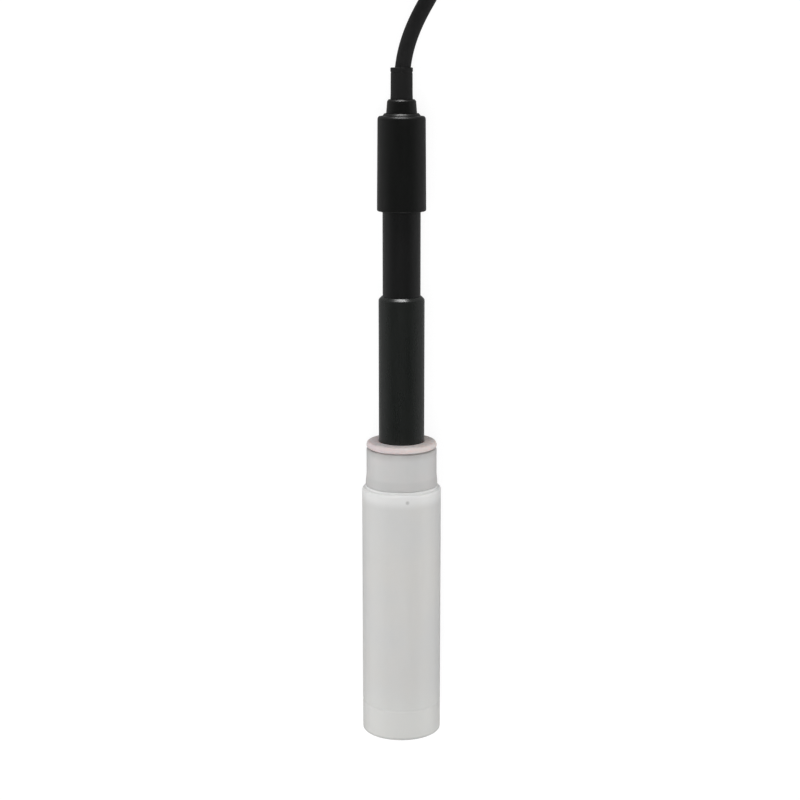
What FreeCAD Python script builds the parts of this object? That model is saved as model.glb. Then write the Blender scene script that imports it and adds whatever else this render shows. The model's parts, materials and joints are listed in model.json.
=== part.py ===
import FreeCAD, Part
import math
import os

from FreeCAD import Placement, Rotation, Vector

# Dissolved oxygen electrode in its storage bottle, lying as it comes to rest.
# Every turned piece is drawn upright on its own axis, with z = 0 at the bottle's base,
# and laid down together with the others at the end. Millimetres.

# Storage bottle
BOTTLE_DIAMETER = 25.5
BOTTLE_HEIGHT = 82.5
BOTTLE_WALL = 1.1
BASE_RECESS = 7.2
BASE_FLOOR = 1.3
BASE_EDGE_RADIUS = 1.0
SHOULDER_RADIUS = 0.9
SHOULDER_BEAD_DIAMETER = 23.5
SHOULDER_BEAD_HEIGHT = 0.85
NECK_DIAMETER = 19.2
NECK_WALL = 1.1
NECK_LIP_RADIUS = 0.4

# Screw cap of the bottle
CAP_DIAMETER = 22.6
CAP_FOOT_DIAMETER = 23.1
CAP_FOOT_HEIGHT = 3.2
CAP_HEIGHT = 12.1
CAP_PLATE = 1.4
CAP_WALL = 0.85
CAP_TOP_CHAMFER = 0.35
CAP_FOOT_EDGE = 0.15
CAP_TO_BEAD = 0.05
CAP_TO_NECK_LIP = 0.3

# Seal that closes the cap and grips the barrel
SEAL_THICKNESS = 2.2
SEAL_EDGE_RADIUS = 1.1
SEAL_STEM_LENGTH = 7.0
SEAL_STEM_TO_NECK = 0.3
SEAL_STEM_TO_CAP = 0.08
SEAL_TO_BARREL = 0.05
SEAL_TO_CAP = 0.05

# Probe: barrel, shaft and head
TIP_HEIGHT = 20.0
BARREL_DIAMETER = 14.6
BARREL_SHOWN = 46.9
BARREL_CHAMFER = 1.0
BARREL_BORE = 10.2
BARREL_SOCKET = 14.0
SPIGOT_DIAMETER = 11.9
SPIGOT_LENGTH = 6.0
SHAFT_DIAMETER = 12.0
SHAFT_SHOWN = 26.9
SHAFT_BORE = 7.2
SHAFT_END_CHAMFER = 0.3
HEAD_RIM_DIAMETER = 15.45
HEAD_TOP_DIAMETER = 15.0
HEAD_LENGTH = 28.75
HEAD_FOOT_BEVEL = 0.35
HEAD_EDGE_RADIUS = 0.3
HEAD_CROWN = 1.45
CROWN_BEVEL_WIDTH = 0.45
CROWN_BEVEL_HEIGHT = 0.55
CROWN_STEP_DIAMETER = 11.8
CROWN_STEP_TAPER = 0.1
CROWN_STEP_HEIGHT = 0.2
HEAD_SOCKET = 14.0
HEAD_CAVITY_DIAMETER = 9.9
HEAD_CAVITY_LENGTH = 12.0
GLUE_GAP = 0.05

# Gland collar and cable sleeve
COLLAR_FOOT_DIAMETER = 9.6
COLLAR_TOP_DIAMETER = 9.0
COLLAR_HEIGHT = 4.25
COLLAR_SPIGOT_DIAMETER = 7.2
COLLAR_SPIGOT_LENGTH = 4.2
SLEEVE_DIAMETER = 6.85
SLEEVE_LENGTH = 9.65
SLEEVE_LIP_DIAMETER = 6.95
SLEEVE_LIP_HEIGHT = 1.2
SLEEVE_GROOVE = 0.1
SLEEVE_MOUTH_DIAMETER = 6.0
SLEEVE_MOUTH_DEPTH = 5.0

# Membrane cap, film and gasket at the tip
MEMBRANE_CAP_DIAMETER = 14.0
MEMBRANE_CAP_LENGTH = 19.2
MEMBRANE_CAP_CHAMBER = 10.4
MEMBRANE_CAP_END = 1.9
MEMBRANE_CAP_CHAMFER = 0.8
SCREW_GAP = 0.3
WINDOW_DIAMETER = 6.6
FILM_DIAMETER = 9.2
FILM_THICKNESS = 0.15
FILM_RING_THICKNESS = 0.75
FILM_RING_BORE = 6.4
GRIP_FLUTES = 16
GRIP_FLUTE_RADIUS = 0.5
GRIP_FLUTE_DEPTH = 0.35
GRIP_FLUTE_LENGTH = 9.0
GASKET_THICKNESS = 0.7
GASKET_SEAT = 0.05

# Electrode stem and what it carries
STEM_DIAMETER = 6.0
STEM_TO_FILM = 0.1
STEM_FLANGE_LENGTH = 11.0
STEM_SHANK_DIAMETER = 7.4
STEM_SHANK_LENGTH = 7.0
CATHODE_DIAMETER = 3.0
CATHODE_LENGTH = 3.2
ANODE_DIAMETER = 8.6
ANODE_LENGTH = 8.0
ANODE_FROM_TIP = 4.2
WIRE_DIAMETER = 1.0
WIRE_HOLE = 1.2
WIRE_OFFSET = 2.1
THERMISTOR_DIAMETER = 1.8
THERMISTOR_LENGTH = 3.6
THERMISTOR_HOLE = 2.0
THERMISTOR_COVER = 2.0
LEAD_DIAMETER = 0.5
LEAD_SPACING = 0.9

# O-rings, as the diameter of their section
SHAFT_RING_SECTION = 1.3
SHAFT_RING_FROM_END = 4.0
STEM_RING_SECTION = 1.2
STEM_RING_FROM_END = 5.5
RING_GROOVE_PLAY = 0.2

# Cable, its hank and the strap round the hank
CABLE_DIAMETER = 4.9
CABLE_PLAY = 0.1
CABLE_SPLIT = 0.15
LEAD_REACH = 66.0
HANK_TURNS = 3
HANK_RUN_LENGTH = 90.0
HANK_FOLD_RADIUS = 15.9
HANK_WAIST = 14.0
HANK_EDGE_RADIUS = 1.5
STRAP_WIDTH = 12.0
STRAP_THICKNESS = 1.0
STRAP_CORNER = 2.2
STRAP_PLAY = 0.1

# Plug
PLUG_BODY_DIAMETER = 12.0
PLUG_BODY_LENGTH = 20.0
PLUG_BODY_EDGE = 0.8
PLUG_FLAT_DEPTH = 0.7
PLUG_FLAT_LENGTH = 13.0
BOOT_LENGTH = 18.0
BOOT_TIP_DIAMETER = 6.4
BOOT_FOOT_DIAMETER = 9.2
BOOT_GROOVES = 5
BOOT_GROOVE_WIDTH = 1.2
BOOT_GROOVE_DEPTH = 0.6
SHELL_DIAMETER = 9.5
SHELL_WALL = 0.35
SHELL_LENGTH = 7.0
SHELL_NOTCH_WIDTH = 1.8
SHELL_NOTCH_DEPTH = 0.6
INSERT_FRONT = 4.6
PIN_DIAMETER = 0.8
PIN_LENGTH = 3.6
PIN_ROWS = ((-1.7, -1.7), (-1.7, 1.7), (0.0, -3.0), (0.0, 3.0), (1.9, -2.2), (1.9, 2.2))
KEY_WIDTH = 2.2
KEY_HEIGHT = 1.1

# Small rounding on moulded edges
SOFT_EDGE = 0.3

# Levels along the axis, from the bottle's base
CAP_BOTTOM = BOTTLE_HEIGHT + SHOULDER_BEAD_HEIGHT + CAP_TO_BEAD
CAP_TOP = CAP_BOTTOM + CAP_HEIGHT
NECK_TOP = CAP_TOP - CAP_PLATE - CAP_TO_NECK_LIP
SEAL_BOTTOM = CAP_TOP + SEAL_TO_CAP
SEAL_TOP = SEAL_BOTTOM + SEAL_THICKNESS
BARREL_TOP = SEAL_TOP + BARREL_SHOWN
MEMBRANE_CAP_TOP = TIP_HEIGHT + MEMBRANE_CAP_LENGTH
GASKET_BOTTOM = MEMBRANE_CAP_TOP + GASKET_SEAT
GASKET_TOP = GASKET_BOTTOM + GASKET_THICKNESS
BARREL_BOTTOM = GASKET_TOP + GASKET_SEAT
SPIGOT_END = BARREL_BOTTOM - SPIGOT_LENGTH
SHAFT_BOTTOM = BARREL_TOP - BARREL_SOCKET
HEAD_BOTTOM = BARREL_TOP + SHAFT_SHOWN
SHAFT_TOP = HEAD_BOTTOM + HEAD_SOCKET
HEAD_EDGE = HEAD_BOTTOM + HEAD_LENGTH
HEAD_TOP = HEAD_EDGE + HEAD_CROWN
CAVITY_TOP = SHAFT_TOP + GLUE_GAP + HEAD_CAVITY_LENGTH
COLLAR_TOP = HEAD_TOP + COLLAR_HEIGHT
COLLAR_BOTTOM = HEAD_TOP - COLLAR_SPIGOT_LENGTH
SLEEVE_TOP = COLLAR_TOP + SLEEVE_LENGTH
CABLE_START = SLEEVE_TOP - SLEEVE_MOUTH_DEPTH
FILM_RING_TOP = TIP_HEIGHT + FILM_RING_THICKNESS
FILM_TOP = FILM_RING_TOP + FILM_THICKNESS
STEM_TIP = FILM_TOP + STEM_TO_FILM
FLANGE_TOP = SPIGOT_END + STEM_FLANGE_LENGTH
STEM_TOP = FLANGE_TOP + STEM_SHANK_LENGTH
POTTING_BOTTOM = SHAFT_TOP + GLUE_GAP
POTTING_TOP = COLLAR_BOTTOM - GLUE_GAP

AXIS = Vector(0, 0, 1)


def path_edges(points, radii, closed):
    """Straight runs through the points, with a tangent arc of the given radius at each corner."""
    count = len(points)
    corners = []
    for i, (at, radius) in enumerate(zip(points, radii)):
        if radius <= 0 or (not closed and i in (0, count - 1)):
            corners.append((at, at, None))
            continue
        back = (points[i - 1] - at).normalize()
        ahead = (points[(i + 1) % count] - at).normalize()
        half = back.getAngle(ahead) / 2
        reach = radius / math.tan(half)
        middle = (back + ahead).normalize() * (radius / math.sin(half) - radius)
        corners.append((at + back * reach, at + ahead * reach, at + middle))
    edges = []
    for i, (start, end, middle) in enumerate(corners):
        if middle is not None:
            edges.append(Part.Arc(start, middle, end).toShape())
        if closed or i < count - 1:
            following = corners[(i + 1) % count][0]
            edges.append(Part.LineSegment(end, following).toShape())
    return edges


def turned(*corners):
    """A solid of revolution. Each corner is (radius, z) or (radius, z, rounding)."""
    points = [Vector(corner[0], 0, corner[1]) for corner in corners]
    radii = [corner[2] if len(corner) > 2 else 0 for corner in corners]
    face = Part.Face(Part.Wire(path_edges(points, radii, closed=True)))
    return face.revolve(Vector(0, 0, 0), AXIS, 360)


def ring(centre_radius, section, z):
    """An O-ring round the axis."""
    return Part.makeTorus(centre_radius, section / 2, Vector(0, 0, z))


def rod(diameter, bottom, top, x=0.0, y=0.0):
    """A straight rod along the axis."""
    return Part.makeCylinder(diameter / 2, top - bottom, Vector(x, y, bottom))


def storage_bottle():
    """Bottle with a raised floor above a skirt, a beaded round shoulder and a plain neck bore."""
    outer = BOTTLE_DIAMETER / 2
    inner = outer - BOTTLE_WALL
    neck = NECK_DIAMETER / 2
    mouth = neck - NECK_WALL
    bead = SHOULDER_BEAD_DIAMETER / 2
    bead_top = BOTTLE_HEIGHT + SHOULDER_BEAD_HEIGHT
    floor = BASE_RECESS + BASE_FLOOR
    ceiling = BOTTLE_HEIGHT - BOTTLE_WALL
    return turned(
        (0, BASE_RECESS),
        (inner, BASE_RECESS, BASE_EDGE_RADIUS),
        (inner, 0, SOFT_EDGE),
        (outer, 0, BASE_EDGE_RADIUS / 2),
        (outer, BOTTLE_HEIGHT, SHOULDER_RADIUS),
        (bead, BOTTLE_HEIGHT),
        (bead, bead_top, SOFT_EDGE),
        (neck, bead_top, SOFT_EDGE),
        (neck, NECK_TOP, NECK_LIP_RADIUS),
        (mouth, NECK_TOP, NECK_LIP_RADIUS),
        (mouth, ceiling, SOFT_EDGE),
        (inner, ceiling, SHOULDER_RADIUS),
        (inner, floor, BASE_EDGE_RADIUS),
        (0, floor),
    )


def bottle_cap():
    """Screw cap with a slightly wider foot and a hole for the seal's stem."""
    outer = CAP_DIAMETER / 2
    foot = CAP_FOOT_DIAMETER / 2
    inner = outer - CAP_WALL
    hole = NECK_DIAMETER / 2 - NECK_WALL - SEAL_STEM_TO_NECK + SEAL_STEM_TO_CAP
    ceiling = CAP_TOP - CAP_PLATE
    body = turned(
        (hole, CAP_TOP),
        (hole, ceiling),
        (inner, ceiling),
        (inner, CAP_BOTTOM, SOFT_EDGE),
        (foot, CAP_BOTTOM, CAP_FOOT_EDGE),
        (foot, CAP_BOTTOM + CAP_FOOT_HEIGHT / 2, SHOULDER_RADIUS),
        (outer, CAP_BOTTOM + CAP_FOOT_HEIGHT, SHOULDER_RADIUS),
        (outer, CAP_TOP - CAP_TOP_CHAMFER),
        (outer - CAP_TOP_CHAMFER, CAP_TOP),
    )
    return body


def cap_seal():
    """Soft disc with a rounded rim, and a stem that reaches through the cap into the neck."""
    outer = CAP_DIAMETER / 2
    stem = NECK_DIAMETER / 2 - NECK_WALL - SEAL_STEM_TO_NECK
    bore = BARREL_DIAMETER / 2 + SEAL_TO_BARREL
    return turned(
        (bore, CAP_TOP - SEAL_STEM_LENGTH),
        (stem, CAP_TOP - SEAL_STEM_LENGTH),
        (stem, SEAL_BOTTOM),
        (outer, SEAL_BOTTOM, SOFT_EDGE),
        (outer, SEAL_TOP, SEAL_EDGE_RADIUS),
        (bore, SEAL_TOP),
    )


def lower_barrel():
    """Thick tube with a socket for the shaft and a thinner spigot for the membrane cap."""
    outer = BARREL_DIAMETER / 2
    bore = BARREL_BORE / 2
    socket = SHAFT_DIAMETER / 2 + GLUE_GAP
    spigot = SPIGOT_DIAMETER / 2
    return turned(
        (bore, SPIGOT_END),
        (spigot - SOFT_EDGE, SPIGOT_END),
        (spigot, SPIGOT_END + SOFT_EDGE),
        (spigot, BARREL_BOTTOM),
        (outer, BARREL_BOTTOM, SOFT_EDGE),
        (outer, BARREL_TOP - BARREL_CHAMFER),
        (outer - BARREL_CHAMFER, BARREL_TOP),
        (socket, BARREL_TOP),
        (socket, SHAFT_BOTTOM),
        (bore, SHAFT_BOTTOM),
    )


def upper_shaft():
    """Tube glued into the barrel below and the head above, with an O-ring groove."""
    outer = SHAFT_DIAMETER / 2
    groove = SHAFT_DIAMETER / 2 + GLUE_GAP - SHAFT_RING_SECTION
    middle = SHAFT_BOTTOM + SHAFT_RING_FROM_END
    half = SHAFT_RING_SECTION / 2 + RING_GROOVE_PLAY
    return turned(
        (SHAFT_BORE / 2, SHAFT_BOTTOM),
        (outer - SHAFT_END_CHAMFER, SHAFT_BOTTOM),
        (outer, SHAFT_BOTTOM + SHAFT_END_CHAMFER),
        (outer, middle - half),
        (groove, middle - half),
        (groove, middle + half),
        (outer, middle + half),
        (outer, SHAFT_TOP - SHAFT_END_CHAMFER),
        (outer - SHAFT_END_CHAMFER, SHAFT_TOP),
        (SHAFT_BORE / 2, SHAFT_TOP),
    )


def shaft_o_ring():
    outer = SHAFT_DIAMETER / 2 + GLUE_GAP
    return ring(outer - SHAFT_RING_SECTION / 2, SHAFT_RING_SECTION, SHAFT_BOTTOM + SHAFT_RING_FROM_END)


def head_cap():
    """Moulded grip: slightly tapered, bevelled at both rims, with a low stepped crown."""
    socket = SHAFT_DIAMETER / 2 + GLUE_GAP
    rim = HEAD_RIM_DIAMETER / 2
    top = HEAD_TOP_DIAMETER / 2
    step = CROWN_STEP_DIAMETER / 2
    cavity = HEAD_CAVITY_DIAMETER / 2
    hole = COLLAR_SPIGOT_DIAMETER / 2 + GLUE_GAP
    step_top = HEAD_TOP - CROWN_BEVEL_HEIGHT
    return turned(
        (socket, HEAD_BOTTOM),
        (rim - HEAD_FOOT_BEVEL, HEAD_BOTTOM),
        (rim, HEAD_BOTTOM + HEAD_FOOT_BEVEL),
        (top, HEAD_EDGE, HEAD_EDGE_RADIUS),
        (top - CROWN_BEVEL_WIDTH, HEAD_EDGE + CROWN_BEVEL_HEIGHT),
        (step, step_top - CROWN_STEP_HEIGHT),
        (step - CROWN_STEP_TAPER, step_top),
        (step - CROWN_STEP_TAPER - CROWN_BEVEL_WIDTH, HEAD_TOP),
        (hole, HEAD_TOP),
        (hole, CAVITY_TOP),
        (cavity, CAVITY_TOP),
        (cavity, SHAFT_TOP + GLUE_GAP),
        (socket, SHAFT_TOP + GLUE_GAP),
    )


def gland_collar():
    """Slightly conical collar on the head, with a spigot glued into the head's hole."""
    bore = (CABLE_DIAMETER + CABLE_PLAY) / 2
    spigot = COLLAR_SPIGOT_DIAMETER / 2
    return turned(
        (bore, COLLAR_BOTTOM),
        (spigot, COLLAR_BOTTOM, SOFT_EDGE),
        (spigot, HEAD_TOP),
        (COLLAR_FOOT_DIAMETER / 2, HEAD_TOP),
        (COLLAR_TOP_DIAMETER / 2, COLLAR_TOP - CROWN_BEVEL_HEIGHT),
        (COLLAR_TOP_DIAMETER / 2 - CROWN_BEVEL_WIDTH, COLLAR_TOP),
        (bore, COLLAR_TOP),
    )


def strain_relief_sleeve():
    """Soft sleeve with a lip at its mouth, where the bore opens so that the cable can bend."""
    bore = (CABLE_DIAMETER + CABLE_PLAY) / 2
    outer = SLEEVE_DIAMETER / 2
    lip = SLEEVE_LIP_DIAMETER / 2
    lip_bottom = SLEEVE_TOP - SLEEVE_LIP_HEIGHT
    return turned(
        (bore, COLLAR_TOP),
        (outer, COLLAR_TOP),
        (outer, lip_bottom - SLEEVE_GROOVE * 2),
        (outer - SLEEVE_GROOVE, lip_bottom - SLEEVE_GROOVE),
        (lip, lip_bottom),
        (lip, SLEEVE_TOP, SOFT_EDGE),
        (SLEEVE_MOUTH_DIAMETER / 2, SLEEVE_TOP),
        (bore, CABLE_START),
    )


def cable_end():
    """The cable's end inside sleeve and collar, down to the potting."""
    return rod(CABLE_DIAMETER, POTTING_TOP, CABLE_START - CABLE_SPLIT)


def potting_plug():
    """Cast resin that fills the head's cavity between shaft and collar."""
    return rod(HEAD_CAVITY_DIAMETER - 2 * GLUE_GAP, POTTING_BOTTOM, POTTING_TOP)


def electrode_stem():
    """Turned stem: thin rod with the cathode's seat, flange with an O-ring groove, wire shank."""
    rod_radius = STEM_DIAMETER / 2
    flange = BARREL_BORE / 2 - GLUE_GAP
    groove = BARREL_BORE / 2 - STEM_RING_SECTION
    middle = SPIGOT_END + STEM_RING_FROM_END
    half = STEM_RING_SECTION / 2 + RING_GROOVE_PLAY
    body = turned(
        (0, STEM_TIP),
        (rod_radius, STEM_TIP, SOFT_EDGE),
        (rod_radius, SPIGOT_END),
        (flange, SPIGOT_END),
        (flange, middle - half),
        (groove, middle - half),
        (groove, middle + half),
        (flange, middle + half),
        (flange, FLANGE_TOP),
        (STEM_SHANK_DIAMETER / 2, FLANGE_TOP),
        (STEM_SHANK_DIAMETER / 2, STEM_TOP),
        (0, STEM_TOP),
    )
    anode_top = STEM_TIP + ANODE_FROM_TIP + ANODE_LENGTH
    holes = [
        rod(CATHODE_DIAMETER + 2 * GLUE_GAP, STEM_TIP - 1, STEM_TIP + CATHODE_LENGTH),
        rod(WIRE_HOLE, STEM_TIP + CATHODE_LENGTH, STEM_TOP + 1),
        rod(WIRE_HOLE, anode_top, STEM_TOP + 1, x=-WIRE_OFFSET),
        rod(THERMISTOR_HOLE, SPIGOT_END + THERMISTOR_COVER, STEM_TOP + 1, x=WIRE_OFFSET),
    ]
    for hole in holes:
        body = body.cut(hole)
    return body


def stem_o_ring():
    outer = BARREL_BORE / 2
    return ring(outer - STEM_RING_SECTION / 2, STEM_RING_SECTION, SPIGOT_END + STEM_RING_FROM_END)


def cathode():
    return rod(CATHODE_DIAMETER, STEM_TIP, STEM_TIP + CATHODE_LENGTH)


def anode_sleeve():
    """Metal sleeve on the stem, in the electrolyte chamber."""
    bottom = STEM_TIP + ANODE_FROM_TIP
    bore = STEM_DIAMETER / 2 + GLUE_GAP
    return turned(
        (bore, bottom),
        (ANODE_DIAMETER / 2, bottom, SOFT_EDGE),
        (ANODE_DIAMETER / 2, bottom + ANODE_LENGTH, SOFT_EDGE),
        (bore, bottom + ANODE_LENGTH),
    )


def cathode_wire():
    return rod(WIRE_DIAMETER, STEM_TIP + CATHODE_LENGTH, POTTING_BOTTOM)


def anode_wire():
    anode_top = STEM_TIP + ANODE_FROM_TIP + ANODE_LENGTH
    return rod(WIRE_DIAMETER, anode_top, POTTING_BOTTOM, x=-WIRE_OFFSET)


def thermistor():
    """Bead at the closed end of its hole in the stem."""
    bottom = SPIGOT_END + THERMISTOR_COVER
    bead = rod(THERMISTOR_DIAMETER, bottom, bottom + THERMISTOR_LENGTH, x=WIRE_OFFSET)
    closed_end = [edge for edge in bead.Edges if edge.BoundBox.ZMax < bottom + 1e-3]
    return bead.makeFillet(THERMISTOR_DIAMETER / 2 - LEAD_DIAMETER, closed_end)


def thermistor_leads():
    bottom = SPIGOT_END + THERMISTOR_COVER + THERMISTOR_LENGTH
    leads = [
        rod(LEAD_DIAMETER, bottom, POTTING_BOTTOM, x=WIRE_OFFSET, y=side * LEAD_SPACING / 2)
        for side in (-1, 1)
    ]
    return Part.makeCompound(leads)


def membrane_cap():
    """Screw cap with an electrolyte chamber, a window at its end and a fluted grip."""
    outer = MEMBRANE_CAP_DIAMETER / 2
    chamber = MEMBRANE_CAP_CHAMBER / 2
    skirt = SPIGOT_DIAMETER / 2 + SCREW_GAP
    recess = FILM_DIAMETER / 2 + GLUE_GAP
    top = MEMBRANE_CAP_TOP
    body = turned(
        (recess, TIP_HEIGHT),
        (outer - MEMBRANE_CAP_CHAMFER, TIP_HEIGHT),
        (outer, TIP_HEIGHT + MEMBRANE_CAP_CHAMFER),
        (outer, top, SOFT_EDGE),
        (skirt, top),
        (skirt, SPIGOT_END - SCREW_GAP),
        (chamber, SPIGOT_END - SCREW_GAP),
        (chamber, TIP_HEIGHT + MEMBRANE_CAP_END),
        (WINDOW_DIAMETER / 2, TIP_HEIGHT + MEMBRANE_CAP_END),
        (WINDOW_DIAMETER / 2, FILM_TOP),
        (recess, FILM_TOP),
    )
    reach = outer + GRIP_FLUTE_RADIUS - GRIP_FLUTE_DEPTH
    flutes = []
    for i in range(GRIP_FLUTES):
        angle = 2 * math.pi * i / GRIP_FLUTES
        x, y = reach * math.cos(angle), reach * math.sin(angle)
        flutes.append(rod(2 * GRIP_FLUTE_RADIUS, top - GRIP_FLUTE_LENGTH, top + 1, x=x, y=y))
    return body.cut(Part.makeCompound(flutes))


def membrane_film():
    return rod(FILM_DIAMETER, FILM_RING_TOP, FILM_TOP)


def film_ring():
    """Ring pressed into the recess, which holds the film against the cap's end."""
    outer = FILM_DIAMETER / 2
    bore = FILM_RING_BORE / 2
    return turned(
        (bore + SOFT_EDGE, TIP_HEIGHT),
        (outer, TIP_HEIGHT),
        (outer, FILM_RING_TOP),
        (bore, FILM_RING_TOP),
        (bore, TIP_HEIGHT + SOFT_EDGE),
    )


def membrane_gasket():
    inner = SPIGOT_DIAMETER / 2 + GLUE_GAP
    outer = MEMBRANE_CAP_DIAMETER / 2 - GLUE_GAP
    return turned((inner, GASKET_BOTTOM), (outer, GASKET_BOTTOM), (outer, GASKET_TOP), (inner, GASKET_TOP))


# How the upright pieces lie: the bottle's shoulder and the head's upper edge touch the floor.
CROWN_SLOPE = math.atan2(CROWN_BEVEL_HEIGHT, CROWN_BEVEL_WIDTH)
HEAD_EDGE_START = HEAD_EDGE - HEAD_EDGE_RADIUS * math.tan((math.pi / 2 - CROWN_SLOPE) / 2)
SHOULDER_CENTRE = (BOTTLE_DIAMETER / 2 - SHOULDER_RADIUS, BOTTLE_HEIGHT - SHOULDER_RADIUS)
HEAD_CENTRE = (HEAD_TOP_DIAMETER / 2 - HEAD_EDGE_RADIUS, HEAD_EDGE_START)
ALONG = HEAD_CENTRE[1] - SHOULDER_CENTRE[1]
ACROSS = SHOULDER_CENTRE[0] - HEAD_CENTRE[0]
LEAN = math.asin((SHOULDER_RADIUS - HEAD_EDGE_RADIUS) / math.hypot(ALONG, ACROSS)) + math.atan2(ACROSS, ALONG)
BASE_AXIS_HEIGHT = (
    SHOULDER_CENTRE[1] * math.sin(LEAN) + SHOULDER_CENTRE[0] * math.cos(LEAN) + SHOULDER_RADIUS
)
LOW_END = -BOTTLE_DIAMETER / 2 * math.sin(LEAN)
HIGH_END = SLEEVE_TOP * math.cos(LEAN) + SLEEVE_LIP_DIAMETER / 2 * math.sin(LEAN)
LYING = Placement(
    Vector(-(LOW_END + HIGH_END) / 2, 0, BASE_AXIS_HEIGHT),
    Rotation(Vector(0, 1, 0), 90 + math.degrees(LEAN)),
)


def laid_down(shape):
    """The upright shape, laid down: its axis runs along +X, a little downhill."""
    laid = shape.copy()
    laid.Placement = LYING.multiply(laid.Placement)
    return laid


# The cable leaves the sleeve's mouth, sinks to the floor and runs on to its hank.
CABLE_RADIUS = CABLE_DIAMETER / 2
MOUTH = LYING.multVec(Vector(0, 0, SLEEVE_TOP))
CABLE_FIRST = LYING.multVec(Vector(0, 0, CABLE_START))
LEAD_STEPS = (
    (0.0, -0.2, 6.80),
    (7.5, -1.8, 6.25),
    (15.0, -4.9, 5.35),
    (23.0, -9.6, 4.15),
    (33.0, -14.7, 3.00),
    (45.0, -18.9, 2.50),
    (57.0, -21.3, 2.50),
    (68.0, -21.9, 2.50),
)
HANK_NEAR = MOUTH.x + LEAD_REACH
HANK_MIDDLE_Y = -6.0
HANK_FAR = HANK_NEAR + HANK_RUN_LENGTH
HANK_BEND = HANK_FOLD_RADIUS + CABLE_RADIUS
HANK_TOP = STRAP_THICKNESS + HANK_TURNS * CABLE_DIAMETER
PLUG_FACE = HANK_FAR + HANK_BEND + SOFT_EDGE
PLUG_BACK = PLUG_FACE - PLUG_BODY_LENGTH
BOOT_BACK = PLUG_BACK - BOOT_LENGTH
PLUG_HEIGHT = HANK_TOP + GLUE_GAP + PLUG_BODY_DIAMETER / 2
TAIL_STEPS = (
    (-1.0, -15.8, 18.0),
    (14.0, -11.0, 18.6),
    (29.0, -4.2, 19.6),
    (44.0, -0.6, 20.6),
    (57.0, 0.3, 21.5),
)


def lead_points():
    """Hand-chosen points of the cable's run, from inside the sleeve to the hank."""
    run = [Vector(MOUTH.x + along, aside, height) for along, aside, height in LEAD_STEPS]
    return [CABLE_FIRST] + run


def tail_points():
    """Hand-chosen points from the hank's last turn, over its top, to the plug's boot."""
    run = [
        Vector(HANK_NEAR + along, HANK_MIDDLE_Y + aside, height)
        for along, aside, height in TAIL_STEPS
    ]
    into_boot = [Vector(BOOT_BACK + depth, HANK_MIDDLE_Y, PLUG_HEIGHT) for depth in (0, CABLE_DIAMETER)]
    return run + into_boot


def tube(points, label):
    """A cable tube: straight runs joined by tangent arcs as large as the runs allow."""
    radii = [0.0]
    for before, at, after in zip(points, points[1:], points[2:]):
        shorter = min(before.distanceToPoint(at), at.distanceToPoint(after))
        turn = math.pi - (before - at).getAngle(after - at)
        radii.append(0.45 * shorter / math.tan(turn / 2))
    radii.append(0.0)
    edges = path_edges(points, radii, closed=False)
    spine = Part.Wire(edges)
    start = Part.Circle(points[0], points[1] - points[0], CABLE_RADIUS).toShape()
    solid = spine.makePipeShell([Part.Wire(start)], True, False)
    section = math.pi * CABLE_RADIUS ** 2
    print(f"{label}: length {spine.Length:.1f}, tightest arc {min(radii[1:-1]):.1f}")
    print(f"{label}: volume over section times length {solid.Volume / section / spine.Length:.4f}")
    return solid


def hank_outline(widen):
    """Plan of the hank: two round folds and a waist, drawn in by arcs. Counter-clockwise."""
    fold = HANK_BEND + widen
    waist = CABLE_DIAMETER + widen
    half_run = HANK_RUN_LENGTH / 2
    flat = HANK_WAIST / 2
    reach = half_run - flat
    squeeze = (reach ** 2 + waist ** 2 - fold ** 2) / (2 * (fold - waist))
    lean = math.asin(reach / (squeeze + fold))
    middle = Vector(HANK_NEAR + half_run, HANK_MIDDLE_Y, 0)

    def at(x, y):
        return middle + Vector(x, y, 0)

    def on_fold(angle):
        return at(half_run + fold * math.cos(angle), fold * math.sin(angle))

    def on_waist(angle):
        return at(flat + squeeze * math.sin(angle), waist + squeeze - squeeze * math.cos(angle))

    half = [
        Part.LineSegment(at(0, waist), at(flat, waist)).toShape(),
        Part.Arc(on_waist(0), on_waist(lean / 2), on_waist(lean)).toShape(),
        Part.Arc(on_fold(math.pi / 2 + lean), on_fold(math.pi / 4), on_fold(0)).toShape(),
    ]
    edges = []
    for edge in half:
        across = edge.mirror(middle, Vector(1, 0, 0))
        edges += [edge, across]
        edges += [part.mirror(middle, Vector(0, 1, 0)) for part in (edge, across)]
    return Part.Wire(Part.__sortEdges__(edges))


def strap_section(grow):
    """The hank's section under the strap, widened by grow, as a rounded rectangle across X."""
    side = CABLE_DIAMETER + STRAP_PLAY + grow
    low = STRAP_THICKNESS - grow
    high = HANK_TOP + STRAP_PLAY + grow
    x = HANK_NEAR + HANK_RUN_LENGTH / 2 - STRAP_WIDTH / 2
    corners = [
        Vector(x, HANK_MIDDLE_Y + y, z)
        for y, z in ((-side, low), (side, low), (side, high), (-side, high))
    ]
    rounding = STRAP_CORNER + grow
    face = Part.Face(Part.Wire(path_edges(corners, [rounding] * 4, closed=True)))
    return face.extrude(Vector(STRAP_WIDTH, 0, 0))


def cable_tie():
    """Strap round the waist of the hank."""
    return strap_section(STRAP_THICKNESS).cut(strap_section(0.0))


def cable_hank():
    """Outer shape of the folded cable, kept clear of the strap."""
    block = Part.Face(hank_outline(0.0)).extrude(Vector(0, 0, HANK_TOP))
    rims = [edge for edge in block.Edges if abs(edge.BoundBox.ZLength) < 1e-6]
    return block.makeFillet(HANK_EDGE_RADIUS, rims).cut(cable_tie())


def plug_piece(shape):
    """A piece drawn on +Z with z = 0 at the plug's front face, turned to point along +X."""
    laid = shape.copy()
    turn = Placement(Vector(PLUG_FACE, HANK_MIDDLE_Y, PLUG_HEIGHT), Rotation(Vector(0, 1, 0), 90))
    laid.Placement = turn.multiply(laid.Placement)
    return laid


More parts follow.
